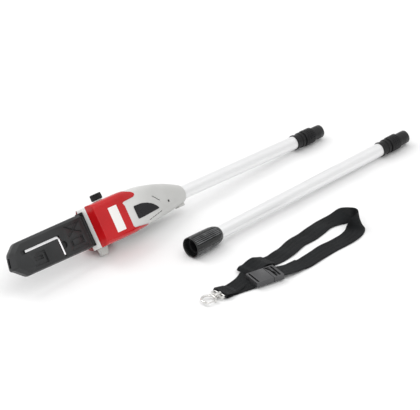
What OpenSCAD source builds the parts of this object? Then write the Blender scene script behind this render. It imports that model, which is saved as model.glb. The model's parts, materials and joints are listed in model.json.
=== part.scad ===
// Sectional powered pole saw: a saw head on its pole, one plug-on extension pole and a shoulder strap.
// Head parts are drawn in the head's own frame: +X from the saw towards the pole's plug,
// +Z up in use, and -Y out of the side that carries the cover. x = 0 is the housing's front.

/* [Housing] */
// Length of the housing from its front to the nose
housing_len = 272; // [250:1:300]
// Height of the housing above the pole's axis
head_top = 56; // [54:1:62]
// Height of the housing below the pole's axis
head_bottom = 35.5; // [34:0.5:42]
// Depth of the housing on the covered side
side_depth = 50; // [48:1:58]
// Depth of the housing on its back
back_depth = 42; // [41:1:48]
// Wall of the housing's shells and covers
wall = 2.5; // [1.5:0.1:3]
// Length of the deep front part under the side cover
cover_len = 79; // [76:1:90]
// Depth at which the side cover starts
cover_step = 24; // [20:1:28]
// Reach of the foot below the pole's axis
foot_reach = 52; // [48:1:60]
// Width of the foot along the pole
foot_w = 14; // [12:1:20]

/* [Saw] */
// Length of the guide bar in front of the housing
bar_reach = 200; // [150:1:250]
// Half of the guide bar's width
bar_half = 17; // [14:0.5:17.5]
// Thickness of the guide bar
bar_t = 4.4; // [3.5:0.1:5]
// Depth of the chain around the bar
chain_h = 5.2; // [4:0.1:6]
// Distance from the housing's front back to the spindle
spindle_x = 45; // [44:0.5:47]
// Height of the bar's centre line above the pole's axis
bar_z = 10; // [8:0.5:12]
// Length of the scabbard
scabbard_len = 222; // [200:1:250]
// Width of the scabbard
scabbard_w = 74.5; // [72:0.5:80]
// Width across the flats of the hex key
key_af = 5; // [4:0.5:6]
// Length of the hex key's long arm
key_long = 95; // [70:1:110]
// Length of the hex key's short arm
key_short = 40; // [25:1:42]

/* [Drive] */
// Gear module
gear_module = 1.5; // [1.4:0.05:1.55]
// Teeth on the spindle's gear
gear_teeth = 48; // [44:2:48]
// Teeth on the motor's pinion
pinion_teeth = 14; // [14:2:16]
// Outside radius of the motor's can
motor_r = 22; // [18:0.5:22.5]
// Length of the motor's can
motor_len = 48; // [40:1:49]
// Radius of the spindle
spindle_r = 5; // [4:0.5:6]

/* [Poles] */
// Outside radius of both tubes
tube_r = 14; // [12:0.5:15]
// Wall of both tubes
tube_wall = 1.2; // [1:0.1:2]
// Length of tube showing on the saw head's pole
head_tube_len = 331.5; // [200:0.5:600]
// Length of tube showing on the extension pole
ext_tube_len = 485; // [250:1:700]
// Length of the coupling's thin ring, band and second ring together
band_len = 24.2; // [18:0.1:30]
// Length of the coupling's thick collar
collar_len = 25.5; // [18:0.1:32]
// Radius of the coupling's thick collar
collar_r = 16.5; // [15.8:0.1:17]
// Length of the plug beyond the collar
plug_len = 27.2; // [24:0.1:40]
// Radius of the plug
plug_r = 13.8; // [11.5:0.1:14]
// Length of the extension's coupling sleeve
sleeve_len = 84; // [76:1:100]
// Radius of the sleeve at its mouth
sleeve_r = 22.5; // [22:0.5:26]
// Number of ribs in each of the sleeve's groups
ribs_in_group = 5; // [3:1:6]

/* [Strap] */
// Width of the webbing
web_w = 40; // [36:1:41]
// Thickness of the webbing
web_t = 2; // [1.5:0.1:2.4]
// Height of the buckle
buckle_h = 12; // [11:0.5:15]
// Radius of the hook's wire
hook_wire_r = 2.6; // [2.2:0.1:3]

/* [Laid out] */
// Roll of the saw head as it lies on the ground
head_roll = -38.6; // [-42:0.1:-36]
// Turn of the extension pole from the head's pole
ext_yaw = 1; // [0:0.5:3]
// Gap between shells that meet at a visible joint
seam = 0.3; // [0.2:0.05:0.5]
// Radial clearance of shafts that turn in their bores
run_fit = 0.06; // [0.03:0.01:0.1]
// Radial clearance of parts that slide in or over each other
slip = 0.5; // [0.3:0.05:0.6]

/* [Hidden] */
$fn = 64;
big = 600;

// Where the head pole's pieces end, measured from the housing's front.
tube_in = 60;
ring_x = housing_len + head_tube_len;
collar_x = ring_x + band_len + 3;
plug_x = collar_x + collar_len;

// The foot's lowest corner and the collar touch the ground: pitch and lift follow from them.
foot_x = 16;
foot_y = 12;
foot_fall = -foot_y * sin(head_roll) + foot_reach * cos(head_roll);
head_pitch = atan((foot_fall - collar_r) / (plug_x - foot_x - foot_w));
head_lift = (foot_x + foot_w) * sin(head_pitch) + foot_fall * cos(head_pitch);
laid_x = -11;
head_x = laid_x - 272.6;
head_y = 146;

// The extension lies on its sleeve's mouth and its collar.
ext_x = laid_x - 128.6;
ext_y = -8.5;
ext_ring_x = sleeve_len + ext_tube_len;
ext_plug_x = ext_ring_x + band_len + 3 + collar_len;
ext_pitch = asin((sleeve_r - collar_r) / ext_plug_x);

// Spur gears between the motor and the spindle.
gear_r = gear_module * gear_teeth / 2;
pinion_r = gear_module * pinion_teeth / 2;
motor_x = spindle_x + gear_r + pinion_r;
plate_y = 13;
plate_t = 3;
gear_y = plate_y + plate_t + 2;
gear_w = 8;
case_y = gear_y + gear_w + 2;

// The bar, its chain and the sheath around them.
nose_x = -bar_reach + bar_half;
track_r = bar_half + 0.3;
chain_r = track_r + chain_h;
cutter_h = 3;
chain_t = 5;
sprocket_r = track_r - 3.5;
slot_half = chain_r + cutter_h + 3.5;
cover_end = spindle_x + chain_r;
corner_y = 12;
corner_z = 24;
corner_run = 3;
slot_depth = chain_t / 2 + 2.5;
guard_t = 4;
mouth_x = -guard_t - 0.5;
face_y = 12;
sheath_back = 8;
sheath_low = bar_z - scabbard_w / 2;
sheath_high = bar_z + scabbard_w / 2;
tip_x = mouth_x - scabbard_len;
key_r = key_af / 2 / cos(30);
key_x = tip_x + 140.5;
key_z = bar_z + 12;

key_y = face_y - key_af / 2 + 0.6;
stud_x = 14;
tension_z = bar_z - 12;
tension_y = 7;

// Oil tank under the housing's top.
tank_low = bar_z + 24;
neck_x = 59;
neck_r = 9;
neck_bore = neck_r - 2;
tank_x = 6;
tank_y = -12;
tank_top = head_top - wall - 1;
tank_size = [cover_len + 7, corner_y - 3 - tank_y, tank_top - tank_low];
tank_wall = 1.6;
pump_size = [26, 8, 11.8];
cap_r = 12.4;
cap_h = 13.5;
cap_grips = 18;
plug_in = 14;

// Shares of the fall from the deep front to the nose: [along, top, bottom, side].
taper = [[0, 0, 0, 0], [0.16, 0.045, 0.09, 0.1], [0.32, 0.105, 0.21, 0.25], [0.46, 0.25, 0.27, 0.4],
    [0.585, 0.4, 0.4, 0.53], [0.725, 0.587, 0.5, 0.68], [0.85, 0.773, 0.69, 0.82],
    [0.95, 0.917, 0.83, 0.93], [1, 1, 1, 1]];
nose_half = tube_r + 2.5;

// Shoulder strap, lying flat beside the poles.
tail_end = [-190, -162];
tail_join = [-104, -160];
buckle_yaw = -12;
buckle_at = [-116, -176];
female_len = 42;
male_len = 24;
buckle_w = web_w + 5;
buckle_z = 3.7;
buckle_wall = 2.5;
buckle_side = 4;
prong_gap = buckle_h - 2 * buckle_wall;
prong_w = 6;
web_slot = buckle_w - 6;
far_start = [-40, -137];
far_end = [152, -115];
near_end = [150, -188];
turn_mid = [[172, -134.5], [193, -141], [208, -154], [216, -170], [211, -183], [195, -196], [174, -203.5]];
turn_ends = [far_end + [3.8, web_t - web_w / 2], near_end + [1.2, web_t - web_w / 2]];
eye_x = tail_end[0] - 4;

function fall(column, high, low) = [for (s = taper) [cover_len + (housing_len - cover_len) * s[0],
    high - (high - low) * s[column]]];
function flipped(points) = [for (i = [len(points) - 1 : -1 : 0]) points[i]];
function inset_x(points, cut) = [for (p = points) [min(p[0], housing_len - cut), p[1]]];
function raised(points, by) = [for (p = points) [p[0], p[1] + by]];

// Places: the head's frame, the extension's frame and the strap's buckle.
module in_head() {
    translate([head_x, head_y, head_lift]) rotate([head_roll, head_pitch, 0]) children();
}
module in_ext() {
    translate([ext_x, ext_y, sleeve_r]) rotate([0, ext_pitch, ext_yaw]) children();
}
module in_strap() {
    translate([laid_x, 0, 0]) children();
}
module in_buckle() in_strap() {
    translate([buckle_at[0], buckle_at[1], buckle_z]) rotate([0, 0, buckle_yaw]) children();
}

// Shapes used by many parts.
module along_y(from, to) {
    translate([0, to, 0]) rotate([90, 0, 0]) linear_extrude(to - from) children();
}
module pin_y(x, z, r, from, to) {
    translate([x, to, z]) rotate([90, 0, 0]) cylinder(r = r, h = to - from);
}
module pin_x(y, z, r, from, to) {
    translate([from, y, z]) rotate([0, 90, 0]) cylinder(r = r, h = to - from);
}
module ring_x(r_out, r_in, from, to) {
    difference() {
        pin_x(0, 0, r_out, from, to);
        pin_x(0, 0, r_in, from - 1, to + 1);
    }
}
module ring_y(x, z, r_out, r_in, from, to) {
    difference() {
        pin_y(x, z, r_out, from, to);
        pin_y(x, z, r_in, from - 1, to + 1);
    }
}

// The ground as the lying head meets it: everything above it, in the head's frame.
module above_ground(cut) {
    rotate([-head_roll, 0, 0]) rotate([0, -head_pitch, 0])
        translate([-big, -big, cut - head_lift]) cube([2 * big, 2 * big, big]);
}
// The housing's outer form, drawn in by cut on every side but the front's.
module body_volume(cut, front) {
    nose_cut = cut > 0 ? 8 : 0;
    top = raised(inset_x(fall(1, head_top, nose_half), nose_cut), -cut);
    bottom = raised(inset_x(fall(2, -head_bottom, -nose_half), nose_cut), cut);
    back = raised(inset_x(fall(3, back_depth, nose_half), nose_cut), -cut);
    side = raised(inset_x(fall(3, -side_depth, -nose_half), nose_cut), cut);
    difference() {
        intersection() {
            along_y(-big, big)
                polygon(concat([[front, head_top - cut]], top, flipped(bottom), [[front, -head_bottom + cut]]));
            translate([0, 0, -big]) linear_extrude(2 * big)
                polygon(concat([[front, back_depth - cut]], back, flipped(side), [[front, -side_depth + cut]]));
            above_ground(cut);
        }
        back_corner(cut);
    }
}
// Slanted corner over the sprocket cover, between the housing's top and its back.
module back_corner(cut) {
    slope = atan((head_top - corner_z) / (back_depth - corner_y));
    translate([-big, corner_y, head_top]) rotate([-slope, 0, 0]) translate([0, -big, -cut])
        cube([big + cover_end + corner_run + cut, 2 * big, big]);
}
// Area of the side cover seen from its side, with its two fingers reaching back.
module cover_area(grow) {
    along_y(-big, -cover_step + grow) offset(delta = grow) polygon([[-5, -80], [cover_len + 54, -80],
        [cover_len + 54, -30.6], [cover_len, -26], [cover_len, 29], [cover_len - 4, 33],
        [cover_len + 38, 36], [cover_len + 41, 42], [cover_len + 34, 50], [cover_len + 20, 56],
        [cover_len + 16, 80], [-5, 80]]);
}
module sprocket_area(grow) {
    translate([-5, slot_depth + 0.5 - grow, -100]) cube([cover_end + 5 + grow, 100, 200]);
}
module bar_mouth() {
    translate([-20, -slot_depth, bar_z - slot_half]) cube([20 + wall + 2, 2 * slot_depth, 2 * slot_half]);
}
module shell_holes() {
    bar_mouth();
    pin_x(0, 0, tube_r + 0.02, housing_len - tube_in, housing_len + 1);
    translate([neck_x, 0, tank_low]) cylinder(r = neck_r + slip, h = 60);
    pin_x(-tension_y, tension_z, 4.5, -1, wall + 1);
}
screw_spots = [[96, -17], [112, 44], [196, 30], [200, -12]];
module screw_holes(r) {
    for (s = screw_spots) pin_y(s[0], s[1], r, 4, big);
}
module vents() {
    for (i = [0 : 4]) translate([cover_len + 54 + i * 9, -big, -26 + i * 1.2]) rotate([0, 12, 0])
        cube([6, big, 1.6]);
}
module side_shell() color("gainsboro") in_head() difference() {
    body_volume(0, 0);
    body_volume(wall, wall);
    cover_area(seam);
    translate([-big, -seam / 2, -big]) cube(2 * big);
    shell_holes();
    along_y(-big, 0) translate([housing_len - 104, 19.6]) rotate(-42) square([21, 1.4]);
    pin_y(housing_len - 63, -3.6, 2.5, -big, -5);
    vents();
}
module back_shell() color("silver") in_head() difference() {
    body_volume(0, 0);
    body_volume(wall, wall);
    sprocket_area(seam);
    translate([-big, -2 * big + seam / 2, -big]) cube(2 * big);
    shell_holes();
    screw_holes(2.2);
}
module side_cover() color("crimson") in_head() difference() {
    intersection() {
        body_volume(0, 0);
        cover_area(0);
    }
    body_volume(wall, wall);
}
module label_plate() color("white") in_head() intersection() {
    difference() {
        body_volume(-0.6, 0);
        body_volume(0, -1);
    }
    translate([cover_len - 45, -big, -21]) cube([24.5, big - 30, 55]);
}
module badge_plate() color("black") in_head() intersection() {
    difference() {
        body_volume(-0.8, 0);
        body_volume(0, -1);
    }
    along_y(-big, -20) translate([cover_len + 22, 0])
        polygon([[0, -13], [72, -9.2], [58, 5.4], [42.5, 11.5], [25, 15.3], [0, 16]]);
}
module front_guard() color("black") in_head() difference() {
    translate([-guard_t, -face_y, -29]) cube([guard_t - 0.05, 2 * face_y, head_top + 28]);
    bar_mouth();
    pin_x(-tension_y, tension_z, 4.5, -big, 1);
}
module foot() color("lightgray") in_head() along_y(0, foot_y)
    polygon([[foot_x - 4, -head_bottom - 0.05], [foot_x, -foot_reach], [foot_x + foot_w, -foot_reach],
        [foot_x + foot_w + 6, -head_bottom - 0.05]]);
module sprocket_cover() color("dimgray") in_head() difference() {
    intersection() {
        body_volume(0, 0);
        sprocket_area(0);
    }
    body_volume(wall, wall);
    bar_mouth();
    pin_y(stud_x, bar_z, 4, 0, big);
    pin_y(stud_x, bar_z, 8, back_depth - 1, big);
    translate([neck_x - neck_r - slip, 0, tank_low]) cube([2 * (neck_r + slip), neck_r + slip, 60]);
}
module cover_screw() color("silver") in_head() difference() {
    union() {
        pin_y(stud_x, bar_z, 7, back_depth + 0.3, back_depth + 6);
        pin_y(stud_x, bar_z, 3, -4, back_depth + 1);
    }
    along_y(back_depth + 2, big) translate([stud_x, bar_z]) circle(r = 2.9, $fn = 6);
}
module housing_screws() color("dimgray") in_head() for (s = screw_spots) {
    pin_y(s[0], s[1], 2, -6, side_at(s[0]) - 1);
    pin_y(s[0], s[1], 3.4, side_at(s[0] - 4) + 0.1, side_at(s[0] - 4) + 2.2);
}
// Depth of the housing's back at a distance from its front.
function side_at(x) = back_depth - (back_depth - nose_half)
    * lookup((x - cover_len) / (housing_len - cover_len), [for (s = taper) [s[0], s[3]]]);
clamp_spots = [-53, -43];
clamp_z = tube_r + 5.6;
module nose_clamp() color("dimgray") in_head() difference() {
    union() {
        pin_x(0, 0, tube_r + 4.5, housing_len - tube_in + 2, housing_len - 38);
        translate([housing_len - tube_in + 2, -7, 0]) cube([tube_in - 40, 14, tube_r + 9.5]);
    }
    pin_x(0, 0, tube_r, 0, big);
    translate([housing_len - tube_in, -1.5, 0]) cube([tube_in, 3, 60]);
    for (x = clamp_spots) pin_y(housing_len + x, clamp_z, 1.8, -20, 20);
}
module clamp_screws() color("silver") in_head() for (x = clamp_spots) {
    pin_y(housing_len + x, clamp_z, 1.7, -9, 9);
    pin_y(housing_len + x, clamp_z, 3.2, 8.8, 10.8);
}
module oil_tank() color("ivory") in_head() difference() {
    union() {
        translate([tank_x, tank_y, tank_low]) cube(tank_size);
        translate([neck_x, 0, tank_top - 1]) cylinder(r = neck_r, h = head_top + 2 - tank_top + 1);
    }
    translate([tank_x + tank_wall, tank_y + tank_wall, tank_low + tank_wall])
        cube(tank_size - 2 * tank_wall * [1, 1, 1]);
    translate([neck_x, 0, tank_low + 4]) cylinder(r = neck_bore, h = big);
}
module oil_pump() color("orange") in_head() {
    translate([tank_x, -plate_y + 0.2, tank_low - pump_size[2] - 0.2]) cube(pump_size);
    pin_y(tank_x + pump_size[0] / 2, tank_low - 8, 3, pump_size[1] - plate_y, -chain_t / 2 - 0.6);
}
module oil_cap() color("black") in_head() translate([neck_x, 0, head_top + 3]) difference() {
    union() {
        cylinder(r = cap_r, h = cap_h);
        translate([0, 0, -plug_in]) cylinder(r = neck_bore - run_fit, h = plug_in + 1);
    }
    for (i = [1 : cap_grips]) rotate(i * 360 / cap_grips) translate([cap_r + 0.7, 0, -1])
        cylinder(r = 1.5, h = cap_h - 1.5, $fn = 16);
    translate([0, 0, -plug_in - 1]) cylinder(r = neck_bore - 2.5, h = plug_in + 6);
}
module cap_seal() color("red") in_head() translate([neck_x, 0, head_top + 2.05]) difference() {
    cylinder(r = neck_r, h = 0.9);
    translate([0, 0, -1]) cylinder(r = neck_bore + run_fit, h = 3);
}

// Gear plate, cut to the housing's inside, and the gears' case on it.
module gear_plate() color("silver") in_head() difference() {
    intersection() {
        body_volume(wall + 0.2, wall + 0.2);
        translate([0, -plate_y - plate_t, -big]) cube([motor_x + 26, plate_t, 2 * big]);
    }
    pin_y(spindle_x, bar_z, 11, -big, big);
    pin_y(motor_x, bar_z, 8, -big, big);
}
module case_area(spare) {
    translate([spindle_x, bar_z]) circle(r = gear_r + gear_module + 0.5 + spare);
    translate([motor_x, bar_z]) circle(r = pinion_r + gear_module + 1 + spare);
}
module gear_case() color("darkgray") in_head() difference() {
    along_y(-case_y - 7, -plate_y - plate_t - 0.05) case_area(1.6);
    along_y(-case_y, 0) case_area(0);
    pin_y(spindle_x, bar_z, 11, -case_y - 5, 0);
    pin_y(motor_x, bar_z, 6, -case_y - 5, 0);
}
module bar_pad() color("gray") in_head() difference() {
    translate([4, -plate_y + 0.05, bar_z - 7]) cube([24, plate_y - bar_t / 2 - 0.5, 14]);
    pin_y(stud_x, bar_z, 4.02, -big, big);
}
module bar_stud() color("silver") in_head() difference() {
    pin_y(stud_x, bar_z, 4, -plate_y + 0.1, slot_depth);
    pin_y(stud_x, bar_z, 3 + run_fit, -8, big);
}
module tension_screw() color("silver") in_head() difference() {
    union() {
        pin_x(-tension_y, tension_z, 2, -1, 24);
        pin_x(-tension_y, tension_z, 3.8, 0.3 - guard_t, -0.9);
    }
    translate([-guard_t - 1, -tension_y - 5, tension_z - 0.5]) cube([2.3, 10, 1]);
}
module tension_nut() color("dimgray") in_head() difference() {
    union() {
        translate([10, -tension_y - 3.2, tension_z - 3.5]) cube([6, 6.4, 7]);
        pin_y(13, tension_z, 1.8, -tension_y + 1, bar_t / 2);
    }
    pin_x(-tension_y, tension_z, 2 + run_fit, -big, big);
}
module guide_bar() color("silver") in_head() difference() {
    along_y(-bar_t / 2, bar_t / 2) difference() {
        union() {
            translate([nose_x, bar_z]) circle(r = bar_half);
            translate([nose_x, bar_z - bar_half]) square([spindle_x - sprocket_r - 4 - nose_x, 2 * bar_half]);
        }
        translate([nose_x, bar_z]) circle(r = 11.5);
        translate([4, bar_z - 4.1]) square([stud_x, 8.2]);
        translate([4, bar_z]) circle(r = 4.1);
        translate([stud_x + 4, bar_z]) circle(r = 4.1);
        translate([13, tension_z]) circle(r = 1.82);
    }
}
module nose_sprocket() color("gray") in_head() difference() {
    along_y(-1.5, 1.5) translate([nose_x, bar_z]) star(11, 11, 8.5);
    pin_y(nose_x, bar_z, 3.2, -big, big);
}
// A plain toothed wheel with n points.
module star(n, r_tip, r_root) {
    polygon([for (i = [0 : 2 * n - 1]) let (r = i % 2 == 0 ? r_tip : r_root, a = i * 180 / n)
        [r * cos(a), r * sin(a)]]);
}
module chain_loop(r) {
    translate([nose_x, bar_z]) circle(r = r);
    translate([spindle_x, bar_z]) circle(r = r);
    translate([nose_x, bar_z - r]) square([spindle_x - nose_x, 2 * r]);
}
cutter_pitch = 19;
cutter_count = floor((bar_reach - bar_half - 12) / cutter_pitch);
module cutter() {
    polygon([[0, -0.5], [8, -0.5], [8, cutter_h - 0.6], [3.5, cutter_h], [2, 0.8], [1.2, cutter_h - 1],
        [0, 1.4]]);
}
module saw_chain() color("dimgray") in_head() along_y(-chain_t / 2, chain_t / 2) {
    difference() {
        chain_loop(chain_r);
        chain_loop(track_r);
    }
    for (i = [0 : cutter_count - 1]) {
        translate([nose_x + i * cutter_pitch, bar_z + chain_r]) cutter();
        translate([nose_x + 10 + i * cutter_pitch, bar_z - chain_r]) rotate(180) cutter();
    }
}

// Sheath over the bar and chain, with a recess for the hex key in its face.
module sheath_area(cut) {
    polygon([[mouth_x + cut, sheath_low + cut], [tip_x + 34 + cut / 2, sheath_low + cut],
        [tip_x + 9 + cut, sheath_low + 19], [tip_x + cut, sheath_low + 23], [tip_x + 8 + cut, sheath_high - 18],
        [tip_x + 33 + cut / 2, sheath_high - cut], [mouth_x + cut, sheath_high - cut]]);
}
module key_recess() {
    translate([key_x - key_long - 3, -face_y - 1, key_z - key_af / 2 - slip])
        cube([key_long + 3 + key_af / 2 + slip, 1 + key_af, key_af + 2 * slip]);
    translate([key_x - key_af / 2 - slip, -face_y - 1, key_z - key_short - 2])
        cube([key_af + 2 * slip, 1 + key_af, key_short + 2]);
    pin_y(key_x + 8, key_z - 20, 8, -face_y - 1, -face_y + key_af);
}
module scabbard() color("#202022") in_head() difference() {
    along_y(-face_y, sheath_back) sheath_area(0);
    along_y(-slot_depth, slot_depth) intersection() {
        sheath_area(3.2);
        translate([tip_x, bar_z - slot_half]) square([scabbard_len - 3.2, 2 * slot_half]);
    }
    translate([mouth_x - 5, -slot_depth, bar_z - slot_half]) cube([10, 2 * slot_depth, 2 * slot_half]);
    key_recess();
}
module hex_key() color("silver") in_head() {
    translate([key_x - key_long, -key_y, key_z]) rotate([0, 90, 0]) rotate(30)
        cylinder(r = key_r, h = key_long, $fn = 6);
    translate([key_x, -key_y, key_z - key_short]) rotate(30) cylinder(r = key_r, h = key_short, $fn = 6);
    translate([key_x, -key_y, key_z]) sphere(r = key_af / 2 - 0.05, $fn = 24);
}

// Spur gear with involute flanks, drawn on the centre.
function involute(base, r) = let (a = sqrt(max(0, (r / base) * (r / base) - 1))) a * 180 / PI - atan(a);
function tooth(n, m, backlash) = let (rp = m * n / 2, rb = rp * cos(20), root = rp - 1.25 * m,
    tip = rp + 0.9 * m, half = 90 / n - backlash / rp * 180 / PI + involute(rb, rp),
    radii = [for (i = [0 : 4]) max(rb, root) + (tip - max(rb, root)) * i / 4])
    concat([[root, -half]], [for (r = radii) [r, -half + involute(rb, r)]],
        [for (r = flipped(radii)) [r, half - involute(rb, r)]], [[root, half]]);
module gear_outline(n, turn, backlash) {
    polygon([for (i = [0 : n - 1]) for (p = tooth(n, gear_module, backlash))
        [p[0] * cos(p[1] + turn + i * 360 / n), p[0] * sin(p[1] + turn + i * 360 / n)]]);
}
module drive_gear() color("dimgray") in_head() difference() {
    along_y(-gear_y - gear_w, -gear_y) translate([spindle_x, bar_z])
        gear_outline(gear_teeth, 180 / gear_teeth, 0.08);
    pin_y(spindle_x, bar_z, spindle_r, -big, big);
    for (a = [0 : 60 : 300]) pin_y(spindle_x + 22 * cos(a), bar_z + 22 * sin(a), 6, -big, big);
}
module pinion() color("gray") in_head() difference() {
    along_y(-gear_y - gear_w, -gear_y) translate([motor_x, bar_z]) gear_outline(pinion_teeth, 0, 0.08);
    pin_y(motor_x, bar_z, 3, -big, big);
}
module spindle() color("silver") in_head() union() {
    pin_y(spindle_x, bar_z, spindle_r, -case_y - 4.5, 12);
    pin_y(spindle_x, bar_z, spindle_r + 2, 4, 6);
}
module drive_sprocket() color("gray") in_head() difference() {
    along_y(-2.4, 2.4) translate([spindle_x, bar_z]) star(7, sprocket_r, sprocket_r - 3.2);
    pin_y(spindle_x, bar_z, spindle_r, -big, big);
}
module bearings() color("silver") in_head() {
    ring_y(spindle_x, bar_z, 11, spindle_r + run_fit, -plate_y - plate_t, -plate_y + 2);
    ring_y(spindle_x, bar_z, 11, spindle_r + run_fit, -case_y - 5, -case_y - 1);
    ring_y(motor_x, bar_z, 8, 3 + run_fit, -plate_y - plate_t, -plate_y - 0.05);
    ring_y(motor_x, bar_z, 7, 3 + run_fit, motor_len - plate_y - 6, motor_len - plate_y - 1);
    ring_y(motor_x, bar_z, 6, 3 + run_fit, -case_y - 5, -case_y - 1);
}
module motor_can() color("gray") in_head() difference() {
    pin_y(motor_x, bar_z, motor_r, -plate_y + 0.05, motor_len - plate_y);
    pin_y(motor_x, bar_z, motor_r - 1.5, -plate_y - 1, motor_len - plate_y - 6);
    pin_y(motor_x, bar_z, 7, 0, big);
}
module field_magnets() color("#303035") in_head() difference() {
    ring_y(motor_x, bar_z, motor_r - 1.5, motor_r - 4.4, -8, motor_len - plate_y - 9);
    translate([motor_x - 30, -big, bar_z - 4]) cube([60, 2 * big, 8]);
}
module armature() color("peru") in_head() union() {
    pin_y(motor_x, bar_z, 3, -case_y - 4, motor_len - plate_y - 1);
    pin_y(motor_x, bar_z, motor_r - 5, -5, motor_len - plate_y - 18);
    pin_y(motor_x, bar_z, 8, motor_len - plate_y - 19, motor_len - plate_y - 9);
}

// Pole pieces, drawn along +X.
module pole_tube(from, to) {
    ring_x(tube_r, tube_r - tube_wall, from, to);
}
module pole_lead(from, to) {
    pin_x(0, 0, 3.5, from, to);
}
// x is the face of the coupling's thin ring.
module coupling_body(x) {
    neck = x + band_len;
    difference() {
        union() {
            pin_x(0, 0, tube_r + 1, x, x + 4);
            pin_x(0, 0, tube_r + 0.4, x, neck);
            pin_x(0, 0, tube_r + 1, neck - 3.2, neck);
            pin_x(0, 0, tube_r, neck, neck + 3);
            for (i = [0 : 3])
                pin_x(0, 0, collar_r, neck + 3 + i * collar_len / 4, neck + 3 + (i + 0.8) * collar_len / 4);
            pin_x(0, 0, collar_r - 0.8, neck + 3, neck + 3 + collar_len);
        }
        pin_x(0, 0, tube_r + 0.02, x - 1, x + band_len - 2);
        pin_x(0, 0, plug_r - 2.5, x, neck + 4 + collar_len);
    }
}
module coupling_plug(x) {
    difference() {
        union() {
            pin_x(0, 0, plug_r, x, x + plug_len - 2);
            pin_x(0, 0, plug_r - 1.2, x + plug_len - 2.1, x + plug_len);
            pin_x(0, 0, plug_r - 2.55, x - 16, x + 1);
        }
        for (g = [6, 12]) ring_x(plug_r + 1, plug_r - 1.2, x + g, x + g + 2.2);
        pin_x(0, 0, 3.6, x - 20, x + plug_len - 12);
        for (a = [0 : 120 : 240]) rotate([a, 0, 0]) pin_x(0, 6.5, 2.6, x + plug_len - 11, x + big);
    }
}
module coupling_contacts(x) {
    for (a = [0 : 120 : 240]) rotate([a, 0, 0]) pin_x(0, 6.5, 1.5, x + plug_len - 11, x + plug_len - 1.5);
}
module coupling_seals(x) {
    for (g = [6, 12]) ring_x(plug_r - 0.1, plug_r - 1.2, x + g + 0.2, x + g + 2);
}
module head_tube() color("silver") in_head() pole_tube(housing_len - tube_in, ring_x + band_len - 2.1);
module head_lead() color("#222222") in_head() pole_lead(housing_len - tube_in - 12, plug_x + plug_len - 12.2);
module head_coupling() color("black") in_head() coupling_body(ring_x);
module head_plug() color("#28282a") in_head() coupling_plug(plug_x);
module head_contacts() color("gold") in_head() coupling_contacts(plug_x);
module head_seals() color("black") in_head() coupling_seals(plug_x);

liner_x = 14;
tube_seat = 50;
module ext_tube() color("silver") in_ext() pole_tube(tube_seat, ext_ring_x + band_len - 2.1);
module ext_lead() color("#222222") in_ext() pole_lead(liner_x + plug_len + 4, ext_plug_x + plug_len - 12.2);
module ext_coupling() color("black") in_ext() coupling_body(ext_ring_x);
module ext_plug() color("#28282a") in_ext() coupling_plug(ext_plug_x);
module ext_contacts() color("gold") in_ext() coupling_contacts(ext_plug_x);
module ext_seals() color("black") in_ext() coupling_seals(ext_plug_x);

// Fluted sleeve that turns on the extension's tube and screws over the other pole's collar.
rib_step = 8;
module coupling_sleeve() color("#1c1c1e") in_ext() difference() {
    rotate([0, 90, 0]) rotate_extrude($fn = 96) polygon([
        [collar_r + 1.6, 0], [sleeve_r - 1, 0], [sleeve_r, 1.5],
        [sleeve_r - 1.6, sleeve_len - 16], [sleeve_r - 3.2, sleeve_len - 6], [sleeve_r - 6, sleeve_len],
        [tube_r + run_fit, sleeve_len], [tube_r + run_fit, tube_seat + 8], [collar_r + 1.6, tube_seat + 8]]);
    for (group = [0 : 3]) for (i = [0 : ribs_in_group - 1])
        rotate([group * 90 + 45 + (i - (ribs_in_group - 1) / 2) * rib_step, 0, 0])
            pin_x(0, sleeve_r + 0.2, 0.9, 6, sleeve_len - 8);
}
module socket_liner() color("#2a2a2c") in_ext() difference() {
    pin_x(0, 0, collar_r + 1.3, liner_x, tube_seat + 7.7);
    pin_x(0, 0, plug_r + run_fit, liner_x - 1, liner_x + plug_len + 1);
    pin_x(0, 0, 3.6, 0, 100);
    pin_x(0, 0, tube_r, tube_seat, 100);
}

// A band of webbing along a few points, lying flat or standing on its edge.
function across(a, b, width) = let (d = b - a) [-d[1], d[0]] / norm(d) * width / 2;
module band(points, width = web_w, height = web_t) {
    n = len(points);
    sides = [for (i = [0 : n - 1]) across(points[max(0, i - 1)], points[min(n - 1, i + 1)], width)];
    linear_extrude(height) polygon(concat([for (i = [0 : n - 1]) points[i] + sides[i]],
        [for (i = [n - 1 : -1 : 0]) points[i] - sides[i]]));
}
module strap_tail() color("#2a2a2c") in_strap() {
    band([tail_end, tail_join]);
    translate([0, 0, web_t]) band([tail_end, tail_join + [-24, 0]]);
}
module strap_far() color("#2a2a2c") in_strap() band([far_start, [20, -137.5], [90, -124.5], far_end]);
module strap_turn() color("#2a2a2c") in_strap()
    band(concat([turn_ends[0]], turn_mid, [turn_ends[1]]), web_t, web_w);
module strap_near() color("#2a2a2c") in_strap() band([near_end, [60, -191], [0, -192]]);
module strap_lead() color("#2a2a2c") in_strap() translate([0, 0, web_t + 1])
    band([
        buckle_at + (female_len + male_len + 6) * [cos(buckle_yaw), sin(buckle_yaw)],
        [-14, -192],
        [8, -192]
    ]);
slider_h = 3.3;
module strap_slider() color("black") in_strap() translate([-62, -137, 0]) difference() {
    translate([-16, -web_w / 2 - 3, 0]) cube([32, web_w + 6, slider_h]);
    for (x = [-10, 2.5]) translate([x, -web_w / 2 - 0.5, -1]) cube([7.5, web_w + 1, 10]);
}

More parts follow.
